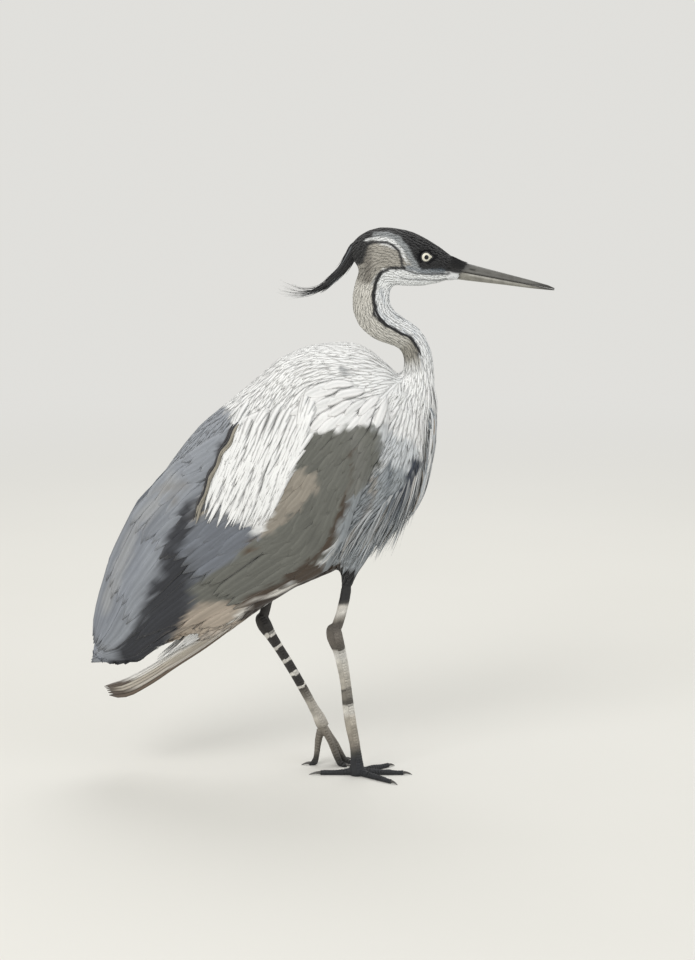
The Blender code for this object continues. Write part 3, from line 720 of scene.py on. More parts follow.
@dataclass
class Plumage:
    """The colour of skin and feathers at every place on the bird."""

    body: Axis
    head: Axis
    neck: NeckLine
    thighs: list[tuple[Array, Array]]  # top and bottom of each thigh's middle line
    unwrap: Unwrap  # where the feathers' patches lie
    wobble: float = 0.0030  # how far the body's markings wander at their edges
    head_wobble: float = 0.14  # how much of that the head's have
    dark_below: tuple[float, float] = (0.2610, 0.2240)  # the right and left thigh are dark below these heights

    def colour(self, points: Array) -> Array:
        """The plumage's colour.

        Args:
            points: places, in rows of three numbers.

        Returns:
            A linear colour for each.
        """
        flat = points.reshape(-1, 3)
        warp = np.stack([ripple(flat, 0.022, i) + 0.6 * ripple(flat, 0.007, i + 1) for i in (11, 13)], axis=1)
        on_head = self.head.places(flat)
        share, near, angle = self.neck.nearest(flat)
        is_head = smoothstep(-0.040, -0.032, on_head[:, 1]) * (on_head[:, 0] < 0.16)
        is_neck = (1 - smoothstep(0.60, 0.72, share)) * (1 - smoothstep(1.35, 1.7, near))
        colours = marked(WHITE, BODY_MARKINGS, self.body.places(flat) + warp * self.wobble)
        colours += (self._on_neck(flat, share, angle) - colours) * is_neck[:, None]
        face = marked(FACE_WHITE, HEAD_MARKINGS, on_head + warp * self.wobble * self.head_wobble)
        colours += (face - colours) * is_head[:, None]
        for ends, limit in zip(self.thighs, self.dark_below):
            near = 1 - smoothstep(0.018, 0.024, from_line(flat, ends, 1.3)[1])
            near *= 1 - smoothstep(limit - 0.003, limit + 0.003, flat[:, 2] + warp[:, 0] * self.wobble)
            colours = laid_over(colours, "1f1f21", near)
        return colours.reshape(points.shape)

    def _on_neck(self, points: Array, share: Array, angle: Array) -> Array:
        """Colours round the neck: white in front, a black line, and taupe at the sides and behind.

        Args:
            points: places, one row each.
            share: how far down the neck each lies.
            angle: how far round from the throat, in radians.

        Returns:
            A linear colour for each.
        """
        turn = np.degrees(angle) + 5 * ripple(points, 0.018, 21)
        taupe = laid_over(linear("d6d3cb"), "c6c4bc", smoothstep(0.1, 0.6, share))
        taupe = laid_over(taupe, "938f84", smoothstep(0.47, 0.56, share) * 0.8)
        streak = smoothstep(0.3, 0.9, ripple(points * [1, 1, 0.25], 0.006, 22))
        front = laid_over(linear("f1f3f4"), "b4bcc4", streak * 0.45)
        colours = front + (taupe - front) * smoothstep(76, 84, turn)[:, None]
        width = 7.5 - 2.5 * share
        dash = 1 - smoothstep(0.50, 0.58, share) * smoothstep(-0.1, 0.3, ripple(points, 0.035, 23))
        line = (1 - smoothstep(width - 3, width + 3, np.abs(turn - 80))) * dash * smoothstep(0.0, 0.08, share)
        colours = laid_over(colours, "1d1d20", line)
        spots = smoothstep(0.0, 0.35, ripple(points, 0.020, 24)) * smoothstep(0.22, 0.34, share)
        row = (1 - smoothstep(2.0, 6.0, np.abs(turn - 24))) * spots
        return laid_over(colours, "33353a", row * 0.9)


# ---------------------------------------------------------------- the lie of the feathers


class Lie:
    """Which way the feathers lie, by place in the side view."""

    shoulder_turn = math.radians(27.0)  # how far the long plumes' way turns down

    def __init__(self, body: Axis, head: Axis, neck: NeckLine, thighs: list[tuple[Array, Array]]) -> None:
        """Lays guide arrows over the bird.

        Args:
            body: the body's axis.
            head: the head's axis.
            neck: the neck's line.
            thighs: top and bottom point of each thigh's middle line.
        """
        spots, ways = list(neck.centres[6:76:3]), list(neck.ahead[6:76:3])
        back = unit(head.point(1.0, 0.0, 0.0) - head.point(0.0, 0.0, 0.0))
        for place in np.arange(-0.01, 0.075, 0.012):
            for height in (-0.02, 0.0, 0.02, 0.035):
                spots.append(head.point(place, 0.0, height))
                ways.append(back)
        for place in (0.088, 0.100, 0.112):
            spots.append(head.point(place, 0.0, 0.030))
            ways.append(unit(back - [0, 0, 0.5]))
        for place in np.arange(0.0, 0.53, 0.03):
            for height in np.arange(-0.09, 0.17, 0.03):
                lift = smoothstep(0.38, 0.51, place) * -50 * np.clip((height - 0.035) / 0.06, -1, 1)
                angle = math.radians(body.pitch) + math.radians(lift)
                spots.append(body.point(place, 0.0, height))
                ways.append([-math.cos(angle), 0, -math.sin(angle)])
        self.spots = np.array(spots)[:, [0, 2]]
        self.ways = np.array(ways)
        self.thighs = thighs
        self.body = body

    def at(self, points: Array, normals: Array) -> Array:
        """The direction of the feathers at points of a surface.

        Args:
            points: places, one row each.
            normals: the surface's normals there.

        Returns:
            Directions along the surface, of length one.
        """
        gaps = np.linalg.norm(points[:, None, [0, 2]] - self.spots[None], axis=2)
        weight = 1 / (gaps + 0.004) ** 4
        ways = (weight @ self.ways) / weight.sum(axis=1, keepdims=True)
        for ends in self.thighs:
            t, gap = from_line(points, ends)
            share = (1 - smoothstep(0.020, 0.032, gap)) * smoothstep(0.15, 0.5, t)
            ways += (unit(ends[1] - ends[0]) - ways) * share[:, None]
        # On the shoulder's side the feathers turn down with the long plumes.
        place, height = self.body.places(points).T
        steep = smoothstep(0.35, 0.8, np.abs(normals[:, 1])) * smoothstep(0.24, 0.30, place)
        steep *= (1 - smoothstep(0.41, 0.47, place)) * smoothstep(0.02, 0.06, height)
        turn = self.shoulder_turn * steep
        cos, sin = np.cos(turn), np.sin(turn)
        x, z = ways[:, 0].copy(), ways[:, 2].copy()
        ways[:, 0], ways[:, 2] = x * cos - z * sin, x * sin + z * cos
        return unit(ways - np.einsum("ij,ij->i", ways, normals)[:, None] * normals)


def face_areas(corners: Array) -> Array:
    """The areas of triangles, from their three corners each."""
    return np.linalg.norm(np.cross(corners[:, 1] - corners[:, 0], corners[:, 2] - corners[:, 0]), axis=1) / 2


class Surface:
    """A mesh that feathers are laid on."""

    def __init__(self, made: bpy.types.Object) -> None:
        """Reads the object's mesh.

        Args:
            made: the object.
        """
        self.points = points_of(made.data)
        self.normals = points_of(made.data, "normal")
        self.faces = triangles_of(made.data)
        self.tree = BVHTree.FromPolygons(self.points.tolist(), self.faces.tolist())

    def nearest(self, points: Array) -> tuple[Array, Array]:
        """The surface's nearest places.

        Args:
            points: points near the surface, one row each.

        Returns:
            The place nearest to each point, and the smooth normal there.
        """
        found = np.empty((len(points), 3))
        faces = np.empty(len(points), int)
        for i, point in enumerate(points.tolist()):
            place, _, faces[i], _ = self.tree.find_nearest(point)
            found[i] = place
        corners = self.faces[faces]
        gaps = np.linalg.norm(self.points[corners] - found[:, None], axis=2) + 1e-6
        return found, unit((self.normals[corners] * (1 / gaps)[:, :, None]).sum(axis=1))

    def scattered(self, spacing: Array, rng: np.random.Generator) -> Array:
        """Roots spread over the surface at random, none closer than the spacing there.

        Args:
            spacing: the least gap at each point of the mesh; 0 where no root goes.
            rng: random numbers.

        Returns:
            The roots' places, one row each.
        """
        corners = self.points[self.faces]
        area = face_areas(corners)
        gap = spacing[self.faces].mean(axis=1)
        open_face = (spacing[self.faces] > 0).all(axis=1)
        density = np.where(open_face, area / np.maximum(gap, 1e-5) ** 2, 0)
        count = int(density.sum() * 4)
        chosen = rng.choice(len(density), size=count, p=density / density.sum())
        a, b = rng.random((2, count, 1))
        fold = a + b > 1
        a, b = np.where(fold, 1 - a, a), np.where(fold, 1 - b, b)
        places = corners[chosen, 0] * (1 - a - b) + corners[chosen, 1] * a + corners[chosen, 2] * b
        near = KDTree(count)
        for i, place in enumerate(places.tolist()):
            near.insert(place, i)
        near.balance()
        taken = np.ones(count, bool)
        kept = []
        for i in range(count):
            if taken[i]:
                kept.append(i)
                for _, other, _ in near.find_range(places[i], gap[chosen[i]]):
                    taken[other] = False
        return places[kept]

    def combed(
        self, roots: Array, lengths: Array, rows: int, lie: Lie, lift: tuple[float, float]
    ) -> tuple[Array, Array]:
        """The middle lines of feathers that lie along the surface.

        Args:
            roots: where the feathers start.
            lengths: each feather's length.
            rows: points on each middle line.
            lie: which way they lie.
            lift: height over the surface at the root and at the tip.

        Returns:
            The lines' points and their normals, feather by feather.
        """
        lines = np.empty((len(roots), rows, 3))
        ups = np.empty_like(lines)
        place = roots
        for row in range(rows):
            place, up = self.nearest(place)
            ups[:, row] = up
            lines[:, row] = place + up * (lift[0] + (lift[1] - lift[0]) * row / (rows - 1))
            place = place + lie.at(place, up) * (lengths / (rows - 1))[:, None]
        return lines, ups


# ---------------------------------------------------------------- feathers


@dataclass(frozen=True)
class FeatherCut:
    """How one kind of feather is cut."""

    rows: int = 6
    columns: int = 3  # points across its upper side
    root: float = 0.30  # width at the root, in full widths
    full_at: float = 0.35  # share of the length where the vane reaches its full width
    tip_from: float = 0.55  # share of the length where the tip begins
    point: float = 2.0  # 2 is a round tip, 1 is a straight taper
    camber: float = 0.30  # height of the shaft over the edges, in half widths
    fray: float = 0.0  # how ragged the tip's edge is, in half widths
    shaft: float = 0.12  # how much darker the shaft is
    fringe: float = 0.06  # how much lighter the edge is
    mottle: float = 0.05  # how much whole feathers differ in lightness

    def width(self, t: Array) -> Array:
        """Half width at shares of the length.

        Args:
            t: shares of the length from the root.

        Returns:
            The widths, from 0 to 1.
        """
        grow = self.root + (1 - self.root) * smoothstep(0.0, self.full_at, t)
        end = np.clip((t - self.tip_from) / (1 - self.tip_from), 0, 1)
        taper = (1 - end**self.point) ** (1 / self.point)
        return grow * np.maximum(taper, 0.10)


CONTOUR = FeatherCut(tip_from=0.35, point=1.5, camber=0.05, mottle=0.02, shaft=0.02, fringe=0.015)
SMALL = FeatherCut(rows=5, camber=0.05, fringe=0.01, shaft=0.02, mottle=0.03)
PLUME = FeatherCut(rows=12, tip_from=0.30, point=1.25, camber=0.06, mottle=0.02, shaft=0.04, fringe=0.02)
HANGING = replace(PLUME, root=0.08, full_at=0.45, tip_from=0.40)
COVERT = FeatherCut(rows=8, columns=5, full_at=0.25, tip_from=0.62, shaft=0.16, fringe=0.10)
FLIGHT = FeatherCut(
    rows=20, columns=5, full_at=0.12, tip_from=0.84, point=1.8, camber=0.16, fray=0.03, shaft=0.2, fringe=0.05
)
RIDGE = FeatherCut(
    rows=14, columns=5, full_at=0.2, tip_from=0.62, point=1.7, camber=0.08, shaft=0.14, fringe=0.07
)
WISP = FeatherCut(rows=16, tip_from=0.15, point=1.1, camber=0.5, shaft=0.0, fringe=0.0, mottle=0.02)


@dataclass
class Coat:
    """The feathers of one piece, gathered before its mesh is made."""

    plumage: Plumage
    faces: list[Array] = field(default_factory=list)  # the feathers' upper sides
    under: list[Array] = field(default_factory=list)  # the undersides and the ends
    gathered: dict[str, list[Array]] = field(default_factory=dict)  # what each point carries
    count: int = 0  # points so far

    def add(
        self,
        lines: Array,
        ups: Array,
        widths: Array,
        cut: FeatherCut,
        rng: np.random.Generator,
        seen_at: float = 0.45,
        colours: Array | None = None,
    ) -> None:
        """Adds a set of like feathers as thin closed vanes.

        Args:
            lines: each feather's middle line.
            ups: the normals along it.
            widths: each feather's half width.
            cut: its shape.
            rng: random numbers.
            seen_at: how far each point's colour is taken from the root towards the point itself.
            colours: the colours along each line, where they don't come from the plumage's markings.
        """
        n, rows, _ = lines.shape
        across, t = np.linspace(-1, 1, cut.columns), np.linspace(0, 1, rows)
        ahead = unit(np.gradient(lines, axis=1))
        sides = unit(np.cross(ahead, ups))
        ups = np.cross(sides, ahead)
        half = (widths[:, None] * cut.width(t))[:, :, None]
        ragged = 1 + cut.fray * rng.normal(size=(n, rows, cut.columns)) * smoothstep(0.5, 1.0, t)[:, None]
        reach = half * across * ragged
        arch = cut.camber * half * (1 - np.abs(across) ** 1.6)
        # The tip's outer rows lie back, so that its edge is round and not cut square.
        back = across**2 * half * 0.55 * smoothstep(0.55, 1.0, t)[:, None]
        middle, moves = lines[:, :, None], ((sides, reach), (ups, arch), (ahead, -back))
        for way, far in moves:
            middle = middle + way[:, :, None] * far[..., None]
        if colours is None:
            roots = lines[:, :1, None]
            colours = self.plumage.colour(roots + (middle - roots) * seen_at)
        else:
            colours = colours[:, :, None]
        tone = 1 + cut.mottle * rng.normal(size=(n, 1, 1, 1))
        pale = cut.fringe * (np.abs(across) ** 3 + smoothstep(0.8, 1.0, t)[:, None])
        shade = 1 - cut.shaft * (np.abs(across) < 0.1) + pale
        patch = np.broadcast_arrays(across * BAKE_PATCH / 2, ((t - 0.5) * BAKE_PATCH)[:, None])
        place = self.plumage.unwrap.places(lines[:, 0])[:, None, None]
        length = np.linalg.norm(np.diff(lines, axis=1), axis=2).sum(axis=1)
        vane = np.broadcast_arrays(reach * 100, t[:, None] * length[:, None, None] * 100)
        for name, values in (
            ("points", middle),
            (COLOUR, np.clip(colours * tone * shade[..., None], 0, 0.95)),
            (VANE_MAP, np.stack(vane, axis=-1)),
            (BAKE_MAP, place + np.stack(patch, axis=-1)),
        ):
            self.gathered.setdefault(name, []).append(values.reshape(-1, values.shape[-1]))
        index = np.arange(rows * cut.columns).reshape(rows, cut.columns)
        top = np.stack([index[:-1, :-1], index[:-1, 1:], index[1:, 1:], index[1:, :-1]], axis=-1)
        top = top.reshape(-1, 4)
        below = np.stack([index[:-1, 0], index[1:, 0], index[1:, -1], index[:-1, -1]], axis=-1).reshape(-1, 4)
        ends = np.stack([index[0, ::-1], index[-1]])
        start = (self.count + np.arange(n) * index.size)[:, None, None]
        for kept, faces in ((self.faces, top), (self.under, below), (self.under, ends)):
            kept.append((faces[None] + start).reshape(-1, faces.shape[1]))
        self.count += n * index.size

    def build(self, name: str, finish: bpy.types.Material, slot: str, *stands_for: str) -> None:
        """Makes the piece, dresses it and sets it on the body.

        Args:
            name: the piece's name.
            finish: its material.
            slot: handed on to dressed.
            stands_for: the CAD nodes that it replaces.
        """
        held = {key: np.concatenate(rows) for key, rows in self.gathered.items()}
        low, high = held[BAKE_MAP].min(axis=0), held[BAKE_MAP].max(axis=0)
        patches = 0.004 + (held[BAKE_MAP] - low) / (high - low) * 0.992
        flat = [False] * len(self.faces) + [True] * len(self.under)
        maps = {VANE_MAP: held[VANE_MAP], BAKE_MAP: patches}
        made = MeshData(held["points"], [*self.faces, *self.under], flat, held[COLOUR], maps).build(name)
        made.data.uv_layers[BAKE_MAP].active = True
        dressed(made, finish, slot, *stands_for)


@dataclass(frozen=True)
class Unwrap:
    """An unwrap of the skin's own shape: place along a line inside it, and the angle round that line."""

    line: Array

    def places(self, points: Array) -> Array:
        """Where points lie on the unwrap.

        Args:
            points: places near the skin, one row each.

        Returns:
            Two numbers from 0 to 1 for each.
        """
        ahead, up = upright(self.line)
        index = np.linalg.norm(points[:, None] - self.line[None], axis=2).argmin(axis=1)
        out = points - self.line[index]
        along = np.einsum("ij,ij->i", out, ahead[index])
        step = np.linalg.norm(np.diff(self.line, axis=0), axis=1).mean()
        angle = np.arctan2(out[:, 1], np.einsum("ij,ij->i", out, up[index]))
        place = (index + np.clip(along / step, -0.5, 0.5)) / (len(self.line) - 1)
        return np.stack([place, angle / (2 * math.pi) + 0.5], axis=1)


# ---------------------------------------------------------------- finishes


def node(tree: bpy.types.NodeTree, kind: str, inputs: dict | None = None, **settings: str) -> Sequence:
    """Adds a node to a tree.

    Args:
        tree: the node tree.
        kind: the node's type.
        inputs: what its sockets, by name or number, hold: a value, or an output socket to link.
        settings: properties set on the node.

    Returns:
        Its output sockets.
    """
    made = tree.nodes.new(kind)
    for key, value in settings.items():
        setattr(made, key, value)
    for key, value in (inputs or {}).items():
        if isinstance(value, bpy.types.NodeSocket):
            tree.links.new(value, made.inputs[key])
        else:
            made.inputs[key].default_value = value
    return made.outputs


def rgba(code: str) -> tuple:
    """An sRGB hex colour as a shader's linear colour."""
    return (*linear(code), 1.0)


def ranges(start: tuple, end: tuple) -> dict[str, float]:
    """The sockets that carry one range of values to another."""
    return dict(zip(("From Min", "From Max", "To Min", "To Max"), (*start, *end)))


def bare_material(name: str) -> tuple[bpy.types.Material, bpy.types.NodeTree]:
    """Starts a material.

    Args:
        name: what it is called.

    Returns:
        The material and its tree, still empty.
    """
    material = bpy.data.materials.new(name)
    material.use_nodes = True
    material.node_tree.nodes.clear()
    return material, material.node_tree


def surfaced(material: bpy.types.Material, sockets: dict) -> bpy.types.Material:
    """Gives a material its one surface shader.

    Args:
        material: the material.
        sockets: what the shader's sockets hold.

    Returns:
        The material.
    """
    shader = node(material.node_tree, "ShaderNodeBsdfPrincipled", sockets)
    node(material.node_tree, "ShaderNodeOutputMaterial", {"Surface": shader[0]})
    return material


def dressed(made: bpy.types.Object, finish: bpy.types.Material, slot: str, *stands_for: str) -> None:
    """Gives a piece its one finish, and sets it on the bird's body.

    Args:
        made: the piece.
        finish: its material.
        slot: not used.
        stands_for: the CAD nodes that it replaces.
    """
    made.data.materials.clear()
    made.data.materials.append(finish)
    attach(made, BODY)
    if stands_for:
        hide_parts(*stands_for)
    LOG.info("%s: %d faces", made.name, len(made.data.polygons))


NOISE_SPAN = (0.3, 0.7)  # where a noise's values mostly lie


@dataclass(frozen=True)
class FeatherFinish:
    """Keratin barbs hooked into a vane: matt, with a faint sheen at grazing angles and slanting lines.

    Real barbs stand 0.3 to 0.5 mm apart. They are drawn two to three times as wide, so that they show.
    """

    name: str
    barb: float = 0.9  # distance between barbs, mm
    slant: float = 1.1  # how steeply they run to the tip
    depth: float = 0.30  # bump
    contrast: float = 0.06  # how much darker the gaps are
    roughness: float = 0.72
    clouds: tuple[float, float] = (220.0, 34.0)  # to the metre: the barbs' sway and the wash of tone

    def make(self) -> bpy.types.Material:
        """Builds the material."""
        material, tree = bare_material(self.name)
        spots = node(tree, "ShaderNodeTexCoord")["Object"]
        sway, wash = (
            node(tree, "ShaderNodeTexNoise", {"Vector": spots, "Scale": scale, "Detail": detail})[0]
            for scale, detail in zip(self.clouds, (3.0, 4.0))
        )
        vane = node(tree, "ShaderNodeUVMap", uv_map=VANE_MAP)
        across, along, _ = node(tree, "ShaderNodeSeparateXYZ", {0: vane[0]})
        out = node(tree, "ShaderNodeMath", {0: across}, operation="ABSOLUTE")
        # Each barb slants towards the tip, sways a little, and a sine gives barb and gap in turn.
        slant = node(tree, "ShaderNodeMath", {0: out[0], 1: -self.slant, 2: along}, operation="MULTIPLY_ADD")
        bent = node(tree, "ShaderNodeMath", {0: sway, 1: 0.10, 2: slant[0]}, operation="MULTIPLY_ADD")
        each_cm = 10 / self.barb
        turns = node(tree, "ShaderNodeMath", {0: bent[0], 1: 2 * math.pi * each_cm}, operation="MULTIPLY")
        wave = node(tree, "ShaderNodeMath", {0: turns[0]}, operation="SINE")[0]
        dark = {"Value": wave, **ranges((-1.0, 1.0), (1 - self.contrast, 1.02))}
        pale = {"Value": wash, **ranges(NOISE_SPAN, (0.96, 1.03))}
        tones = {i: node(tree, "ShaderNodeMapRange", limits)[0] for i, limits in enumerate((dark, pale))}
        tone = node(tree, "ShaderNodeMath", tones, operation="MULTIPLY")[0]
        base = node(tree, "ShaderNodeAttribute", attribute_name=COLOUR)["Color"]
        shade = node(tree, "ShaderNodeVectorMath", {0: base, "Scale": tone}, operation="SCALE")
        bump = node(tree, "ShaderNodeBump", {"Strength": self.depth, "Distance": 0.0004, "Height": wave})
        return surfaced(material, {
            "Base Color": shade[0], "Normal": bump[0], "Roughness": self.roughness, "IOR": 1.54,
            "Specular IOR Level": 0.35, "Sheen Weight": 0.12, "Sheen Roughness": 0.5,
        })


@dataclass(frozen=True)
class SkinFinish:
    """Skin with close down over it, seen only in slits between the feathers: matt and a little darker."""

    name: str = "skin_with_down"
    tufts: float = 600.0  # to the metre

    def make(self) -> bpy.types.Material:
        """Builds the material."""
        material, tree = bare_material(self.name)
        spots = node(tree, "ShaderNodeTexCoord")["Object"]
        down = node(tree, "ShaderNodeTexNoise", {"Vector": spots, "Scale": self.tufts, "Detail": 3.0})[0]
        tone = node(tree, "ShaderNodeMapRange", {"Value": down, **ranges(NOISE_SPAN, (0.94, 1.02))})[0]
        base = node(tree, "ShaderNodeAttribute", attribute_name=COLOUR)["Color"]
        shade = node(tree, "ShaderNodeVectorMath", {0: base, "Scale": tone}, operation="SCALE")
        bump = node(tree, "ShaderNodeBump", {"Strength": 0.5, "Distance": 0.0006, "Height": down})
        return surfaced(
            material,
            {"Base Color": shade[0], "Normal": bump[0], "Roughness": 0.9, "Specular IOR Level": 0.15},
        )


@dataclass(frozen=True)
class HornFinish:
    """Keratin horn of bill, claws and lids: dense, half gloss, with fine growth lines and small stains."""

    name: str
    colour: str | None = None  # one colour, or none where the piece carries its own
    stain: str = "3c3a35"
    stained: float = 0.35  # how dark the stains are
    roughness: float = 0.42
    grain: float = 900.0  # lines of growth, per metre
    blots: float = 150.0  # stains, per metre
    depth: float = 0.25
    coat: float = 0.15

    def make(self) -> bpy.types.Material:
        """Builds the material."""
        material, tree = bare_material(self.name)
        if self.colour:
            base = rgba(self.colour)
        else:
            base = node(tree, "ShaderNodeAttribute", attribute_name=COLOUR)["Color"]
        spots = node(tree, "ShaderNodeTexCoord")["Object"]
        along = node(tree, "ShaderNodeMapping", {"Vector": spots, "Scale": (0.25, 1.0, 1.0)})[0]
        lines = node(tree, "ShaderNodeTexNoise", {"Vector": along, "Scale": self.grain, "Detail": 4.0})[0]
        blots = node(tree, "ShaderNodeTexNoise", {"Vector": spots, "Scale": self.blots, "Detail": 5.0})[0]
        much = node(tree, "ShaderNodeMapRange", {"Value": blots, **ranges((0.48, 0.68), (0.0, self.stained))})
        mixed = {"Factor": much[0], 6: base, 7: rgba(self.stain)}
        gloss = ranges(NOISE_SPAN, (self.roughness - 0.08, self.roughness + 0.12))
        relief = {"Strength": self.depth, "Distance": 0.0004, "Height": lines}
        return surfaced(material, {
            "Base Color": node(tree, "ShaderNodeMix", mixed, data_type="RGBA")[2],
            "Roughness": node(tree, "ShaderNodeMapRange", {"Value": lines, **gloss})[0],
            "Normal": node(tree, "ShaderNodeBump", relief)[0],
            "IOR": 1.55, "Coat Weight": self.coat, "Coat Roughness": 0.3,
        })


@dataclass(frozen=True)
class LegFinish:
    """Leathery leg skin cut into small scales, half matt, its colour carried by the piece."""

    name: str = "scaled_leg_skin"
    scale: float = 1.6  # width of a scale, mm

    def make(self) -> bpy.types.Material:
        """Builds the material."""
        material, tree = bare_material(self.name)
        cells = {"Vector": node(tree, "ShaderNodeTexCoord")["Object"], "Scale": 1000 / self.scale}
        gap = node(tree, "ShaderNodeTexVoronoi", cells, feature="DISTANCE_TO_EDGE")[0]
        edge = node(tree, "ShaderNodeMapRange", {"Value": gap, **ranges((0.0, 0.12), (0.70, 1.04))})[0]
        base = node(tree, "ShaderNodeAttribute", attribute_name=COLOUR)["Color"]
        shade = node(tree, "ShaderNodeVectorMath", {0: base, "Scale": edge}, operation="SCALE")
        bump = node(tree, "ShaderNodeBump", {"Strength": 0.5, "Distance": 0.0005, "Height": edge})
        return surfaced(material, {"Base Color": shade[0], "Normal": bump[0], "Roughness": 0.6, "IOR": 1.5})


@dataclass(frozen=True)
class EyeFinish:
    """A glass-bright eye: the iris's colours under a clear wet coat."""

    name: str = "eye_under_cornea"
    fibres: float = 1500.0  # of the iris, to the metre

    def make(self) -> bpy.types.Material:
        """Builds the material."""
        material, tree = bare_material(self.name)
        spots = node(tree, "ShaderNodeTexCoord")["Object"]
        fibres = node(tree, "ShaderNodeTexNoise", {"Vector": spots, "Scale": self.fibres, "Detail": 2.0})[0]
        tone = node(tree, "ShaderNodeMapRange", {"Value": fibres, **ranges(NOISE_SPAN, (0.9, 1.05))})[0]
        base = node(tree, "ShaderNodeAttribute", attribute_name=COLOUR)["Color"]
        shade = node(tree, "ShaderNodeVectorMath", {0: base, "Scale": tone}, operation="SCALE")
        return surfaced(material, {
            "Base Color": shade[0], "Roughness": 0.12, "IOR": 1.38, "Specular IOR Level": 0.3,
            "Coat Weight": 0.4, "Coat Roughness": 0.02,
        })


# ---------------------------------------------------------------- skin


# The line where the folded wings meet over the back: place along the body and height.
RIDGE_LINE = (
    (0.012, 0.0300), (0.050, 0.0590), (0.101, 0.0925), (0.168, 0.1235), (0.220, 0.1335), (0.250, 0.1420),
    (0.280, 0.1470), (0.310, 0.1480),
)


@dataclass
class Skin:
    """One skin over all the flesh, inside the solids by the depth of the coat."""

    nodes: dict
    coat_depth: float = 0.0030
    face_depth: float = 0.0015
    voxel: float = 0.0028
    swell: float = 0.0006  # closes the gaps between the solids
    flesh: tuple[str, ...] = (
        "head", "neck_upper", "neck_middle", "neck_lower", "trunk", "mantle", "rump", "thigh_left",
        "thigh_right",
    )

    def shape(self, head: Axis, body: Axis) -> bpy.types.Object:
        """Makes the skin's mesh, still without finish.

        Args:
            head: the head's axis.
            body: the body's axis.

        Returns:
            The skin.
        """
        whole = joined_nodes(self.flesh, self.nodes, self.swell)
        wings = joined_nodes(("wing_left", "wing_right"), self.nodes, self.swell, meet=0.0016)
        # A rod under the line where the wings meet closes the slit between them.
        place, height = smooth_line([(a, b, 0) for a, b in RIDGE_LINE], 40)[:, :2].T
        radius = 0.0035 + 0.0055 * smoothstep(0.0, 0.09, place)
        rod = tube(body.point(place, 0 * place, height - radius), radius).build("rod")
        made = remeshed(merged(whole, wings, rod), "skin", self.voxel)
        smoothed(made.data, 8, keep_size=False)
        points = points_of(made.data)
        back = head.places(points)[:, 0]
        face = smoothstep(0.50, 0.56, points[:, 2]) * (1 - smoothstep(0.10, 0.15, back))
        depth = self.coat_depth + (self.face_depth - self.coat_depth) * face
        set_points(made.data, points - points_of(made.data, "normal") * depth[:, None])
        smoothed(made.data, 3, keep_size=False)
        return made

    def dress(self, made: bpy.types.Object, plumage: Plumage) -> None:
        """Colours the skin as the coat over it, and lets it stand for the flesh."""
        paint(made.data, plumage.colour(points_of(made.data)))
        dressed(made, SkinFinish().make(), "body_feathers", *self.flesh)


# ---------------------------------------------------------------- small feathers of head, neck and body


# Outline of the long white shoulder plumes: place and height, mm.
TONGUE = (
    (246, 84), (238, 77), (232, 68), (242, 50), (264, 30), (288, 22), (318, 42), (350, 58), (374, 76),
    (440, 120), (430, 160), (330, 160), (300, 122),
)

# The folded wing: place along the body, lower edge and upper edge.
WING_EDGES = (
    (0.010, 0.0200, 0.0290), (0.050, -0.0165, 0.0600), (0.101, -0.0240, 0.0935), (0.168, -0.0410, 0.1240),
    (0.242, -0.0580, 0.1360), (0.298, -0.0650, 0.1330), (0.340, -0.0500, 0.1280), (0.375, -0.0260, 0.1210),
    (0.420, -0.0030, 0.1110), (0.455, 0.0130, 0.0970), (0.490, 0.0420, 0.0660),
)


def wing_edges(place: Array) -> tuple[Array, Array]:
    """The heights of the folded wing's lower and upper edge at places along the body."""
    rows = np.array(WING_EDGES)
    return np.interp(place, rows[:, 0], rows[:, 1]), np.interp(place, rows[:, 0], rows[:, 2])


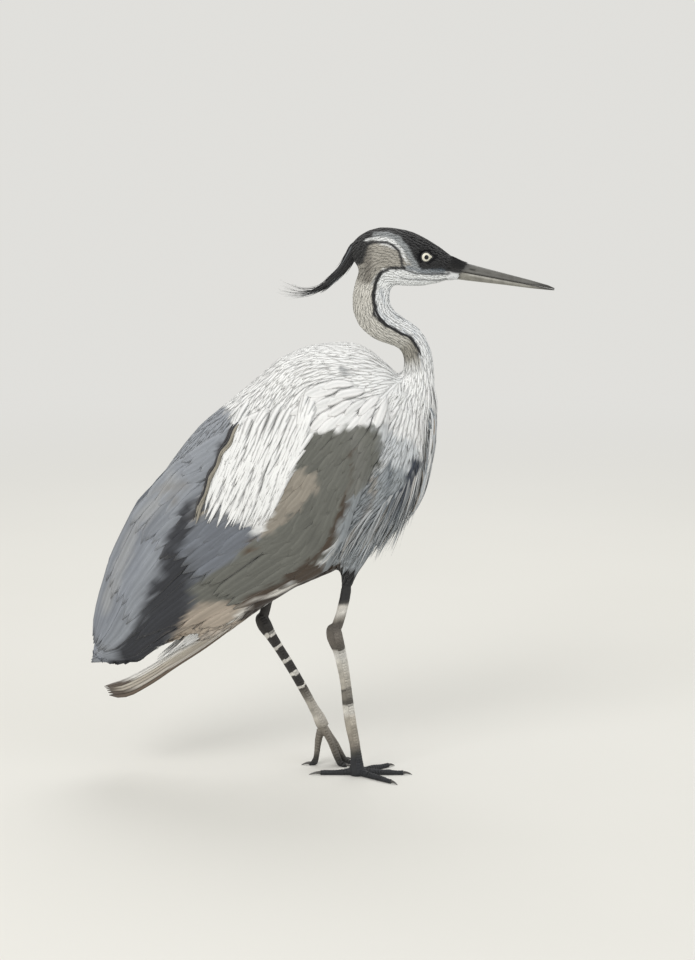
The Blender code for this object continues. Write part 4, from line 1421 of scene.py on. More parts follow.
@dataclass
class SmallFeathers:
    """The feathers scattered over head, neck, back, breast, belly and thighs."""

    surface: Surface
    lie: Lie
    plumage: Plumage
    bare: list[tuple[Array, float]]  # spots round the eyes that no feather covers: middle and radius
    seed: int = 5
    root_lift: float = 0.0001  # height of the feathers' roots over the skin

    def on_thigh(self, points: Array) -> Array:
        """Whether points lie on a thigh."""
        beside = [from_line(points, ends) for ends in self.lie.thighs]
        return np.any([(gap < 0.028) & (share > 0.35) for share, gap in beside], axis=0)

    def on_wing(self, points: Array, normals: Array, inset: float) -> Array:
        """Whether points lie on a folded wing.

        Args:
            points: places, one row each.
            normals: the surface's normals there.
            inset: how far from the wing's edges they have to be.

        Returns:
            Yes or no for each point.
        """
        places = self.plumage.body.places(points)
        place, height = places.T
        low, high = wing_edges(place)
        inside = (place < 0.485 - inset) & (height > low + inset) & (height < high - inset)
        rear = (place < 0.22) & (height > low + inset)
        under = outline_distance(places / MM, TONGUE, closed=True) < -4
        return ((inside & (np.abs(normals[:, 1]) > 0.35)) | rear) & ~under

    def regions(self, points: Array) -> tuple[Array, Array, Array, Array]:
        """Which points lie on the head and which on the neck.

        Args:
            points: places, one row each.

        Returns:
            For each point: whether it lies on the head, whether on the neck, how far back from the bill, and
            its share of the neck.
        """
        back, height = self.plumage.head.places(points).T
        share, near, _ = self.plumage.neck.nearest(points)
        is_head = (height > -0.036) & (back < 0.15) & (points[:, 2] > 0.55)
        return is_head, ~is_head & (near < 1.35) & (share < 0.86), back, share

    def build(self) -> None:
        """Makes the coat, tract by tract."""
        points = self.surface.points
        is_head, is_neck, back, share = self.regions(points)
        place, height = self.plumage.body.places(points).T
        on_back = (height > 0.05) & (place > 0.2)
        spacing = np.where(on_back | (place > 0.40), 0.0042, 0.0056)
        spacing[is_neck] = (0.0027 + 0.0016 * share)[is_neck]
        spacing[is_head] = (0.0019 + 0.0009 * smoothstep(0.0, 0.09, back))[is_head]
        spacing[self.on_thigh(points)] = 0.0034
        spacing[self.on_wing(points, self.surface.normals, 0.012)] = 0
        roots = self.surface.scattered(spacing, np.random.default_rng(self.seed))
        for tract in self._tracts(roots):
            self._tract(roots, *tract)

    def _tracts(self, roots: Array) -> tuple[tuple, ...]:
        """The roots sorted into tracts.

        Args:
            roots: all roots.

        Returns:
            For each tract: name, slot, which roots, the feathers' length and half width, their cut, and the
            height of their tips over the skin.
        """
        is_head, is_neck, from_bill, share = self.regions(roots)
        place, height = self.plumage.body.places(roots).T
        is_thigh = self.on_thigh(roots) & ~is_neck
        rest = ~(is_head | is_neck | is_thigh)
        back = rest & (height > 0.055) & (place > 0.2)
        rump = rest & ~back & (place < 0.26)
        breast = rest & ~back & ~rump & (place > 0.40)
        belly = rest & ~back & ~rump & ~breast
        crown = smoothstep(0.02, 0.10, from_bill)
        on_head = 0.0056 + 0.0065 * crown, 0.0012 + 0.0006 * crown
        on_neck = 0.013 + 0.013 * share, 0.0017 + 0.0011 * share
        return (
            ("head_feathers", "head_feathers", is_head, *on_head, SMALL, 0.0005),
            ("neck_feathers", "neck_feathers", is_neck, *on_neck, CONTOUR, 0.0008),
            ("thigh_feathers", "thigh_feathers", is_thigh, 0.013, 0.0020, CONTOUR, 0.0008),
            ("back_feathers", "back_feathers", back, 0.036, 0.0035, CONTOUR, 0.0009),
            ("rump_feathers", "rump_feathers", rump, 0.034, 0.0046, CONTOUR, 0.0009),
            ("breast_cover", "breast_feathers", breast, 0.032, 0.0031, CONTOUR, 0.0011),
            ("belly_feathers", "body_feathers", belly, 0.034, 0.0046, CONTOUR, 0.0010),
        )

    def _tract(
        self,
        roots: Array,
        name: str,
        slot: str,
        mine: Array,
        length: Array | float,
        half: Array | float,
        cut: FeatherCut,
        lift: float,
    ) -> None:
        """Makes one tract's piece.

        Args:
            roots: all roots.
            name: the piece's name.
            slot: handed on to the coat's build.
            mine: which roots are the tract's.
            length: the feathers' length, for all roots or for each.
            half: their half width.
            cut: their shape.
            lift: the tips' height over the skin.
        """
        n = mine.sum()
        lengths, widths = (np.broadcast_to(size, mine.shape)[mine] for size in (length, half))
        rng = np.random.default_rng(self.seed + n)
        lengths = lengths * rng.uniform(0.85, 1.15, n)
        lines, ups = self.surface.combed(roots[mine], lengths, cut.rows, self.lie, (self.root_lift, lift))
        clear = np.ones(n, bool)
        for spot, radius in self.bare:
            gap = np.linalg.norm(lines[:, :, [0, 2]] - spot[[0, 2]], axis=2).min(axis=1)
            clear &= (gap > radius) | (lines[:, 0, 1] * spot[1] < 0)
        coat = Coat(self.plumage)
        extra = {"head_feathers": self._cover_bill_root, "neck_feathers": self._line_down_neck}.get(name)
        widths = widths[clear] * rng.uniform(0.9, 1.1, clear.sum())
        coat.add(lines[clear], ups[clear], widths, cut, rng, 1.0 if extra else 0.6)
        if extra:
            extra(coat, rng)
        coat.build(name, FeatherFinish(f"{name}_keratin", depth=0.12, contrast=0.05).make(), slot)

    def _line_down_neck(self, coat: Coat, rng: np.random.Generator) -> None:
        """Adds the narrow black feathers of the line between the neck's white front and its side.

        Args:
            coat: the neck's coat.
            rng: random numbers.
        """
        neck = self.plumage.neck
        n, t = 64, np.linspace(0, 1, CONTOUR.rows)
        start = np.linspace(0.03, 0.56, n) + rng.uniform(-0.006, 0.006, n)
        share = start[:, None] + 0.062 * t[None]
        index = np.clip((share * neck.last).round().astype(int), 0, neck.last)
        angle = np.radians(81 + 3 * np.sin(share * 17) + rng.normal(size=(n, 1)) * 0.8)
        for side in Side:
            out = np.cos(angle)[..., None] * neck.front[index]
            out[..., 1] += side.value * np.sin(angle)
            spots = neck.centres[index] + neck.radii[index][..., None] * out
            found, ups = (rows.reshape(spots.shape) for rows in self.surface.nearest(spots.reshape(-1, 3)))
            widths = rng.uniform(0.0009, 0.0014, n) * (1.25 - 0.9 * start)
            black = np.broadcast_to(linear("1a1a1d"), spots.shape)
            coat.add(found + ups * 0.0013, ups, widths, CONTOUR, rng, colours=black)

    def _cover_bill_root(self, coat: Coat, rng: np.random.Generator) -> None:
        """Adds the tiny feathers that reach forward over the bill's root, furthest on top.

        Args:
            coat: the head's coat.
            rng: random numbers.
        """
        head = self.plumage.head
        n = 260
        turn = rng.uniform(-math.pi, math.pi, n)  # 0 is on top
        top = (1 + np.cos(turn)) / 2
        start = -0.0035 - 0.0090 * top**1.5 * rng.uniform(0.2, 1.0, n) - rng.uniform(0, 0.002, n)
        t = np.linspace(0, 1, SMALL.rows)
        back = start[:, None] + (rng.uniform(0.006, 0.011, n) - start)[:, None] * t[None]
        share = smoothstep(-0.012, 0.010, back)
        up = np.where(np.cos(turn) > 0, 1, -1)[:, None]
        height = np.cos(turn)[:, None] * (0.0106 + 0.0036 * share) + 0.0006 * t[None] * up
        side = np.sin(turn)[:, None] * (0.0088 + 0.0030 * share)
        out = head.point(back, side * 1.5, height * 1.5) - head.point(back, side * 0.5, height * 0.5)
        coat.add(head.point(back, side, height), unit(out), rng.uniform(0.0010, 0.0016, n), SMALL, rng, 1.0)


# ---------------------------------------------------------------- wings


def between(ends: tuple, share: Array) -> Array:
    """The value at a share of the way from the first end to the second."""
    return ends[0] + (ends[1] - ends[0]) * share


class FlankField:
    """How far out the bird's side stands, by place along the body and height over its axis."""

    def __init__(self, body: Axis, surface: Surface, step: float = 0.0025) -> None:
        """Feels the right side of the surface on a grid, and carries it on past its edges.

        Args:
            body: the body's axis.
            surface: the skin.
            step: from one of the grid's points to the next.
        """
        self.body = body
        self.step = step
        self.places = np.arange(-0.02, 0.56, step)
        self.heights = np.arange(-0.11, 0.19, step)
        side = np.full((len(self.places), len(self.heights)), np.nan)
        for i, place in enumerate(self.places):
            for j, point in enumerate(body.point(place, np.full(len(self.heights), -0.2), self.heights)):
                hit = surface.tree.ray_cast(Vector(point), Vector((0, 1, 0)))[0]
                if hit is not None and hit.y < 0.004:
                    side[i, j] = hit.y
        weight = (~np.isnan(side)).astype(float)
        side = np.where(weight > 0, side, 0)
        for _ in range(24):
            total, count = self._around(side * weight), self._around(weight)
            fresh = (weight == 0) & (count > 0)
            side[fresh] = np.minimum((total / np.maximum(count, 1e-9))[fresh] + 0.0004, -0.0004)
            weight = np.where(fresh, 1.0, weight)
        for _ in range(3):
            side = self._around(side) / self._around(np.ones_like(side))
        # How far out the side stands, and how that changes along and up.
        self.tables = (side, *np.gradient(side, step))

    @staticmethod
    def _around(values: Array) -> Array:
        """Adds up each cell of a grid and its eight neighbours.

        Args:
            values: the grid.

        Returns:
            The sums.
        """
        high, wide = values.shape
        padded = np.pad(values, 1)
        return sum(padded[i : i + high, j : j + wide] for i in range(3) for j in range(3))

    def lay(self, side: Side, place: Array, height: Array, lift: Array) -> tuple[Array, Array]:
        """Points on one of the bird's sides and the normals there.

        Args:
            side: which side.
            place: places along the body.
            height: heights over its axis.
            lift: how far over the side the points lie.

        Returns:
            Points and normals.
        """
        y, along, up = (self._at(table, place, height) for table in self.tables)
        ways = unit(np.stack([along, -np.ones_like(along), up], axis=-1))
        cos, sin = self.body.slopes()
        x, z = ways[..., 0] * cos - ways[..., 2] * sin, ways[..., 0] * sin + ways[..., 2] * cos
        normals = np.stack([x, ways[..., 1], z], axis=-1)
        mirror = np.array([1, -side.value, 1])
        return (self.body.point(place, y, height) + normals * lift[..., None]) * mirror, normals * mirror

    def _at(self, table: Array, place: Array, height: Array) -> Array:
        """A table's value between its grid's points.

        Args:
            table: the values.
            place: places along the body.
            height: heights over its axis.

        Returns:
            The value at each.
        """
        i = np.clip((place - self.places[0]) / self.step, 0, len(self.places) - 1.001)
        j = np.clip((height - self.heights[0]) / self.step, 0, len(self.heights) - 1.001)
        a, b = i.astype(int), j.astype(int)
        u, v = i - a, j - b
        return (
            table[a, b] * (1 - u) * (1 - v) + table[a + 1, b] * u * (1 - v)
            + table[a, b + 1] * (1 - u) * v + table[a + 1, b + 1] * u * v
        )


@dataclass(frozen=True)
class WingRow:
    """One row of feathers across the folded wing, from its lower edge (0) to its upper edge (1)."""

    root: tuple[float, float]  # place along the body at the lower and the upper end
    tip: tuple[float, float]
    span: tuple[float, float]  # where across the wing the row begins and ends
    count: int
    half_width: float
    lift: tuple[float, float]  # height over the side at root and tip
    cut: FeatherCut
    seen_at: float = 0.75  # how far out each point's colour is taken from the markings


# Primaries, secondaries and tertials, from the lowest layer to the highest.
FLIGHT_ROWS = (
    WingRow((0.235, 0.235), (0.006, 0.016), (0.10, 0.62), 9, 0.0078, (0.0002, 0.0006), FLIGHT, 1.0),
    WingRow((0.300, 0.300), (0.150, 0.030), (0.01, 0.50), 14, 0.0078, (0.0005, 0.0014), FLIGHT, 1.0),
    WingRow((0.300, 0.300), (0.022, 0.030), (0.46, 1.01), 11, 0.0100, (0.0006, 0.0022), FLIGHT, 1.0),
    WingRow((0.300, 0.300), (0.075, 0.085), (0.50, 1.00), 9, 0.0100, (0.0009, 0.0028), FLIGHT, 1.0),
)

# Greater coverts, from the rearmost row to the foremost.
GREATER_ROWS = (
    WingRow((0.290, 0.240), (0.190, 0.150), (0.0, 1.0), 20, 0.0078, (0.0012, 0.0030), COVERT, 0.85),
    WingRow((0.315, 0.270), (0.232, 0.190), (0.0, 1.0), 21, 0.0074, (0.0014, 0.0032), COVERT, 0.80),
)


@dataclass
class Wing:
    """One folded wing: flight feathers, then rows of coverts over them."""

    side: Side
    field: FlankField
    plumage: Plumage
    # roots of the median and lesser coverts: from, to and step
    small_roots: tuple[float, float, float] = (0.322, 0.500, 0.0115)
    seed: int = 31

    def covert_rows(self) -> list[WingRow]:
        """Greater, median and lesser coverts, from the rearmost row to the foremost."""
        rows = [*GREATER_ROWS]
        for root in np.arange(*self.small_roots):
            share = (root - self.small_roots[0]) / 0.178
            length = 0.058 - 0.026 * share
            low, high = wing_edges(np.array(root))
            count = max(4, int((high - low) / (0.0096 - 0.0042 * share)))
            ends = (root, root - 0.02), (root - length, root - 0.02 - length)
            rows.append(WingRow(*ends, (0.0, 1.0), count, 0.0072 - 0.0016 * share, (0.0012, 0.0034), COVERT))
        return rows

    def build(self) -> None:
        """Makes the flight feathers and the coverts."""
        side = self.side.name.lower()
        large = FeatherFinish(f"flight_keratin_{side}", barb=1.3, depth=0.35, contrast=0.14).make()
        flight = self._rows(FLIGHT_ROWS, self.seed)
        flight.build(f"flight_feathers_{side}", large, "wing_feathers", f"wing_{side}")
        small = FeatherFinish(f"covert_keratin_{side}", contrast=0.10).make()
        self._rows(self.covert_rows(), self.seed + 1).build(f"wing_coverts_{side}", small, "wing_feathers")

    def _rows(self, rows: Iterable[WingRow], seed: int) -> Coat:
        """Lays rows of feathers on the wing.

        Args:
            rows: the rows, from the lowest layer to the highest.
            seed: of the random numbers.

        Returns:
            The coat.
        """
        coat = Coat(self.plumage)
        rng = np.random.default_rng(seed + (7 if self.side is Side.LEFT else 0))
        for number, row in enumerate(rows):
            n, t = row.count, np.linspace(0, 1, row.cut.rows)
            share = np.linspace(0, 1, n)
            if number % 2:
                share = np.clip(share + 0.5 / (n - 1), 0, 1)
            across = between(row.span, share) + rng.normal(size=n) * 0.006
            root = between(row.root, share) + rng.normal(size=n) * 0.002
            tip = between(row.tip, share) + rng.normal(size=n) * 0.003
            place = between((root[:, None], tip[:, None]), t)
            drift = across[:, None] + rng.normal(size=n)[:, None] * 0.02 * t[None] ** 2
            height = between(wing_edges(place), np.clip(drift, -0.01, 1.01))
            lift = between(row.lift, t) + rng.uniform(0, 0.0003, (n, 1))
            lines, ups = self.field.lay(self.side, place, height, lift)
            # The wing narrows towards its tip, and its feathers close up with it.
            squeeze = 0.55 + 0.45 * smoothstep(0.02, 0.16, place[:, -1])
            widths = row.half_width * squeeze * rng.uniform(0.93, 1.07, n)
            # Coverts far under the shoulder plumes are left out, so that they don't come through them.
            tips = np.stack([place[:, -1], height[:, -1]], axis=1) / MM
            keep = (outline_distance(tips, TONGUE, closed=True) > -16) | (row.root[0] < 0.31)
            coat.add(lines[keep], ups[keep], widths[keep], row.cut, rng, row.seen_at)
        return coat


@dataclass
class BackRidge:
    """The longest back feathers, laid as a roof over the line where the folded wings meet."""

    body: Axis
    plumage: Plumage
    count: int = 78
    reach: float = 0.0062  # how far the outer ones lie from the middle
    slope: float = 26.0  # how steeply the roof falls to its sides, per metre
    seed: int = 57

    def build(self) -> None:
        """Makes the feathers, the rearmost first."""
        rng = np.random.default_rng(self.seed)
        n, t = self.count, np.linspace(0, 1, RIDGE.rows)
        share = np.linspace(0, 1, n)
        root = 0.105 + 0.200 * share + rng.normal(size=n) * 0.002
        length = rng.uniform(0.070, 0.088, n)
        tip = np.maximum(root - length, rng.uniform(0.012, 0.020, n))
        place = between((root[:, None], tip[:, None]), t)
        column = np.array([-1.0, 1.0, 0.0])[np.arange(n) % 3][:, None]
        narrow = 0.35 + 0.65 * smoothstep(0.015, 0.12, place)
        side = (column * self.reach + rng.normal(size=(n, 1)) * 0.0008) * narrow
        ridge = np.transpose(RIDGE_LINE)
        top, ahead, behind = (np.interp(place + step, *ridge) for step in (0, 0.004, -0.004))
        lift = 0.0004 + 0.0010 * t[None] + 0.0002 * (column == 0)
        lift = lift + 0.0006 * share[:, None] * smoothstep(0.2, 0.3, place)
        lines = self.body.point(place, side, top + lift - self.slope * side**2)
        over = self.body.point(place - (ahead - behind), side, top + lift + 0.008)
        ups = unit(over - self.body.point(place, side, top + lift))
        ups[..., 1] += 2 * self.slope * side
        widths = rng.uniform(0.0062, 0.0072, n) * (0.45 + 0.55 * smoothstep(0.02, 0.12, tip))
        coat = Coat(self.plumage)
        coat.add(lines, unit(ups), widths, RIDGE, rng, seen_at=0.9)
        coat.build("ridge_feathers", FeatherFinish("ridge_keratin", contrast=0.10).make(), "wing_feathers")


# The height of the back's top edge over the body's axis, by place along it.
BACK_PLACES = (0.20, 0.25, 0.30, 0.40, 0.45, 0.48, 0.517)
BACK_HEIGHTS = (0.125, 0.145, 0.160, 0.160, 0.138, 0.110, 0.064)


@dataclass
class ShoulderPlumes:
    """The long white plumes that hang from the shoulder over the folded wing, edged by a clean outline."""

    side: Side
    field: FlankField
    plumage: Plumage
    slope: float = math.radians(27.0)  # how far below the body's line they hang
    front_turn: float = math.radians(8.0)  # how much more steeply the foremost ones do
    # where the lowest plumes end: place and height, mm
    ends: tuple[tuple[float, float], ...] = ((312, 121), (290, 110), (266, 96), *TONGUE[:9])
    rows: int = 11
    plumes: int = 54  # in each row
    gap: float = 0.0105  # how far each row's ends lie over those of the row below
    # along the rear edge: how far above it, colour and half width
    edging: tuple = ((0.0020, "a09a8d", 0.0026), (0.0046, "37373b", 0.0019))
    seed: int = 71

    def build(self) -> None:
        """Makes the plumes, the lowest row first."""
        rng = np.random.default_rng(self.seed + (3 if self.side is Side.LEFT else 0))
        coat = Coat(self.plumage)
        for row in range(self.rows):
            self._row(coat, row, rng)
        self._edge(coat, rng)
        side = self.side.name.lower()
        finish = FeatherFinish(f"plume_keratin_{side}", depth=0.12, contrast=0.04).make()
        coat.build(f"shoulder_plumes_{side}", finish, "back_feathers")

    def _row(self, coat: Coat, row: int, rng: np.random.Generator) -> None:
        """Adds one row of plumes.

        Args:
            coat: the plumes so far.
            row: the row's number from below.
            rng: random numbers.
        """
        n, t = self.plumes, np.linspace(0, 1, PLUME.rows)
        outline = np.array(self.ends) * MM
        knots = np.concatenate([[0], np.cumsum(np.linalg.norm(np.diff(outline, axis=0), axis=1))])
        share = np.clip(np.linspace(0, 1, n) + rng.normal(size=n) * 0.008, 0, 1)
        tip = np.stack([np.interp(share * knots[-1], knots, outline[:, i]) for i in (0, 1)], axis=1)
        # The foremost ones hang more steeply, along the edge of the coverts.
        slope = self.slope + self.front_turn * smoothstep(0.62, 0.95, share)
        back = np.stack([np.cos(slope), np.sin(slope)])
        tip = tip + (back * (row * self.gap + rng.uniform(0, 0.006, n))).T
        length = rng.uniform(0.062, 0.085, n) * (1 - 0.3 * smoothstep(0.33, 0.43, tip[:, 0]))
        bend = (0.06 * rng.normal(size=n))[:, None] * (1 - t[None]) * length[:, None]
        reach = length[:, None] * (1 - t[None])
        place = tip[:, 0, None] + reach * back[0, :, None] - bend * back[1, :, None]
        height = tip[:, 1, None] + reach * back[1, :, None] + bend * back[0, :, None]
        sink = 0.0030 + 0.0020 * smoothstep(0.37, 0.41, place[:, :1])
        lift = -sink + (sink + 0.0054) * smoothstep(0.0, 0.60, t)[None] + row * 0.00004
        lines, ups = self.field.lay(self.side, place, height, lift)
        white = np.broadcast_to(linear(WHITE), lines.shape)
        root = place[:, 0]
        highest = np.interp(root, BACK_PLACES, BACK_HEIGHTS) - 0.010
        highest = np.minimum(highest, 0.150 - 0.45 * np.clip(root - 0.36, 0, None))
        keep = (height[:, 0] < highest + 0.007 * rng.normal(size=n)) & (root < 0.446)
        widths = rng.uniform(0.0036, 0.0046, n)
        coat.add(lines[keep], ups[keep], widths[keep], PLUME, rng, colours=white[keep])

    def _edge(self, coat: Coat, rng: np.random.Generator) -> None:
        """Adds the narrow buff and near-black feathers along the plumes' rear edge.

        Args:
            coat: the plumes so far.
            rng: random numbers.
        """
        n, t = 16, np.linspace(0, 1, PLUME.rows)
        share = (np.linspace(0, 1, n) * 0.86)[:, None] + t[None] * 0.30
        for offset, colour, half in self.edging:
            wave = 0.0010 * np.sin(share * 21) + 0.0007 * rng.normal(size=(n, 1))
            place = 0.338 - 0.100 * share
            height = 0.1275 - 0.0445 * share + 0.004 * np.sin(share * 3.1) + offset + wave
            lines, ups = self.field.lay(self.side, place, height, 0.0060 + 0.0008 * t[None] + 0 * place)
            tint = np.broadcast_to(linear(colour), lines.shape)
            coat.add(lines, ups, np.full(n, half), PLUME, rng, colours=tint)


# ---------------------------------------------------------------- crest, breast plumes and tail


LEFT = np.array([0, 1.0, 0])


@dataclass
class Crest:
    """The black plumes that hang from the back of the head and end in fine wisps."""

    plumage: Plumage
    # from the crown to the tip: X, Y, Z, half height and half width
    line: tuple = (
        (0.0531, 0, 0.6460, 0.0060, 0.0070), (0.0439, 0, 0.6400, 0.0080, 0.0078),
        (0.0373, 0, 0.6285, 0.0076, 0.0066), (0.0286, 0, 0.6148, 0.0062, 0.0054),
        (0.0161, 0, 0.6025, 0.0054, 0.0044), (0.0011, 0, 0.5910, 0.0042, 0.0032),
        (-0.0139, 0, 0.5855, 0.0024, 0.0020), (-0.0284, 0, 0.5865, 0.0012, 0.0011),
        (-0.0399, 0, 0.5910, 0.0005, 0.0005),
    )
    plumes: int = 190
    colour: str = "1b1b1e"
    grey: str = "5b5f63"
    seed: int = 91

    def build(self) -> None:
        """Makes the crest."""
        rng = np.random.default_rng(self.seed)
        n, t = self.plumes, np.linspace(0, 1, WISP.rows)
        start = rng.uniform(0.0, 0.42, n) ** 1.3
        end = np.clip(start + rng.uniform(0.30, 0.50, n), 0, 0.9)
        wisps = n // 6
        is_wisp = np.arange(n) < wisps
        end[:wisps] = rng.uniform(0.88, 1.0, wisps)
        start[:wisps] = rng.uniform(0.35, 0.62, wisps)
        rows = stretch_of(smooth_line(self.line, 200), start, end, t)
        ahead, up = upright(rows)
        up *= np.where(up[..., 2:] < 0, -1, 1)
        angle = rng.uniform(0, 2 * math.pi, n)[:, None]
        spread = np.sqrt(rng.uniform(0.05, 1, n))[:, None] * (0.70 + 0.25 * t[None])
        out_up, out_side = np.sin(angle) * spread, np.cos(angle) * spread
        lines = rows[..., :3] + up * (out_up * rows[..., 3])[..., None]
        lines[..., 1] += out_side * rows[..., 4]
        # The wisps come loose towards their tips and reach further.
        loose = rng.uniform(-0.008, 0.010, n) * is_wisp + rng.uniform(-0.003, 0.002, n)
        lines += up * (loose[:, None] * t[None] ** 2)[..., None]
        lines[..., 1] += (rng.uniform(-0.006, 0.006, n) * is_wisp)[:, None] * t[None] ** 2
        further = rng.uniform(0.0, 0.016, n) * is_wisp
        lines += ahead[:, -1:] * (further[:, None] * t[None] ** 3)[..., None]
        ups = unit(up * out_up[..., None] + LEFT * out_side[..., None] + up * 0.15)
        widths = rng.uniform(0.0018, 0.0030, n)
        widths[:wisps] = 0.0005
        colours = np.broadcast_to(linear(self.colour), lines.shape).copy()
        colours[rng.random(n) < 0.12] = linear(self.grey)
        coat = Coat(self.plumage)
        coat.add(lines, ups, widths, WISP, rng, colours=colours)
        finish = FeatherFinish("crest_keratin", depth=0.2, roughness=0.5).make()
        coat.build("crest_plumes", finish, "crest_feathers", "crest")


@dataclass
class BreastPlumes:
    """Long narrow plumes that hang from the base of the neck, and the fringe along the belly."""

    surface: Surface
    lie: Lie
    plumage: Plumage
    # down the middle of the bunch: X, Y, Z, half depth and half width
    line: tuple = (
        (0.1281, 0, 0.4700, 0.0040, 0.0150), (0.1325, 0, 0.4400, 0.0075, 0.0230),
        (0.1312, 0, 0.4070, 0.0086, 0.0258), (0.1262, 0, 0.3770, 0.0086, 0.0252),
        (0.1190, 0, 0.3460, 0.0078, 0.0212), (0.1091, 0, 0.3220, 0.0052, 0.0138),
        (0.0991, 0, 0.3060, 0.0016, 0.0048),
    )
    plumes: int = 210
    fringe: int = 560
    covers: int = 110
    tints: tuple[str, ...] = ("e3e4e4", "d5d8da", "c3c8cc", "b4a99c", "8e959b", "5f666d", "3f454c")
    shares: tuple[float, ...] = (0.34, 0.22, 0.14, 0.08, 0.10, 0.08, 0.04)
    # before this X the fringe ends over the first height, and behind it over the second
    leg_clear: tuple[float, float, float] = (-0.004, 0.2600, 0.2400)
    seed: int = 111

    def build(self) -> None:
        """Makes the hanging plumes and the fringe."""
        rng = np.random.default_rng(self.seed)
        coat = Coat(self.plumage)
        n, t = self.plumes, np.linspace(0, 1, HANGING.rows)
        start = rng.uniform(0.0, 0.55, n)
        end = np.clip(start + rng.uniform(0.30, 0.50, n), 0, 1)
        rows = stretch_of(smooth_line(self.line, 200), start, end, t)
        front = upright(rows)[1]
        across = rng.uniform(-1, 1, n)[:, None] * (0.95 + 0.05 * t[None])
        depth = np.sqrt(np.clip(1 - across**2, 0.02, 1)) * rng.uniform(0.2, 1.0, n)[:, None]
        sway = 0.0012 * np.sin(t[None] * rng.uniform(2, 5, n)[:, None] + rng.uniform(0, 6, n)[:, None])
        sink = 0.0060 * (1 - smoothstep(0.0, 0.35, t))[None]
        lines = rows[..., :3] + front * (depth * rows[..., 3] - sink)[..., None]
        lines[..., 1] += across * rows[..., 4] + sway
        ups = unit(front * depth[..., None] + LEFT * (across * 0.9)[..., None] + front * 0.1)
        colours = self._tinted(n, rng)
        coat.add(lines, ups, rng.uniform(0.0015, 0.0026, n), HANGING, rng, colours=colours)
        self._add_fringe(coat, rng)
        self._cover_roots(coat, rng)
        finish = FeatherFinish("breast_plume_keratin").make()
        coat.build("breast_plumes_hanging", finish, "breast_feathers", "breast_plumes")

    def _tinted(self, count: int, rng: np.random.Generator) -> Array:
        """One tint for each plume, the same along it.

        Args:
            count: how many plumes there are.
            rng: random numbers.

        Returns:
            The colours along each plume.
        """
        chosen = rng.choice(len(self.tints), size=count, p=np.array(self.shares) / sum(self.shares))
        tints = np.array([linear(code) for code in self.tints])[chosen]
        return np.repeat(tints[:, None], PLUME.rows, axis=1)

    def _cover_roots(self, coat: Coat, rng: np.random.Generator) -> None:
        """Adds the neck's lowest feathers, which lie over the roots of the hanging plumes.

        Args:
            coat: the plumes so far.
            rng: random numbers.
        """
        points, n = self.surface.points, self.covers
        spots = (points[:, 2] > 0.446) & (points[:, 2] < 0.478) & (np.abs(points[:, 1]) < 0.021)
        spots &= self.surface.normals[:, 0] > 0.4
        chosen = rng.choice(np.flatnonzero(spots), n, replace=True)
        length = rng.uniform(0.026, 0.044, n)
        lines, ups = self.surface.combed(points[chosen], length, PLUME.rows, self.lie, (0.0006, 0.0058))
        lines[..., 1] += rng.normal(size=(n, 1)) * 0.0010
        tint = np.repeat(self.plumage.colour(lines[:, :1]), PLUME.rows, axis=1)
        coat.add(lines, ups, rng.uniform(0.0014, 0.0023, n), PLUME, rng, colours=tint)

    def _add_fringe(self, coat: Coat, rng: np.random.Generator) -> None:
        """Adds loose plumes that leave the belly's edge and hang a little below it.

        Args:
            coat: the plumes so far.
            rng: random numbers.
        """
        points, n = self.surface.points, self.fringe
        place, height = self.plumage.body.places(points).T
        spots = (place > 0.346) & (place < 0.50) & (height < -0.045) & (self.surface.normals[:, 2] < 0.25)
        chosen = rng.choice(np.flatnonzero(spots), n, replace=False)
        length = rng.uniform(0.022, 0.042, n)
        lines, ups = self.surface.combed(points[chosen], length, PLUME.rows, self.lie, (0.0006, 0.0022))
        hang = np.array([-0.10, 0.0, -1.0]) * (length * rng.uniform(0.2, 0.8, n))[:, None]
        lines = lines + hang[:, None] * (np.linspace(0, 1, PLUME.rows) ** 2)[None, :, None]
        colours = self.plumage.colour(lines[:, :1]) * 0.6 + self._tinted(n, rng) * 0.4
        # The plumes end over the bare part of the legs.
        tip = lines[:, -1]
        keep = tip[:, 2] > np.where(tip[:, 0] > self.leg_clear[0], self.leg_clear[1], self.leg_clear[2])
        widths = rng.uniform(0.0012, 0.0024, n)
        coat.add(lines[keep], ups[keep], widths[keep], PLUME, rng, colours=colours[keep])


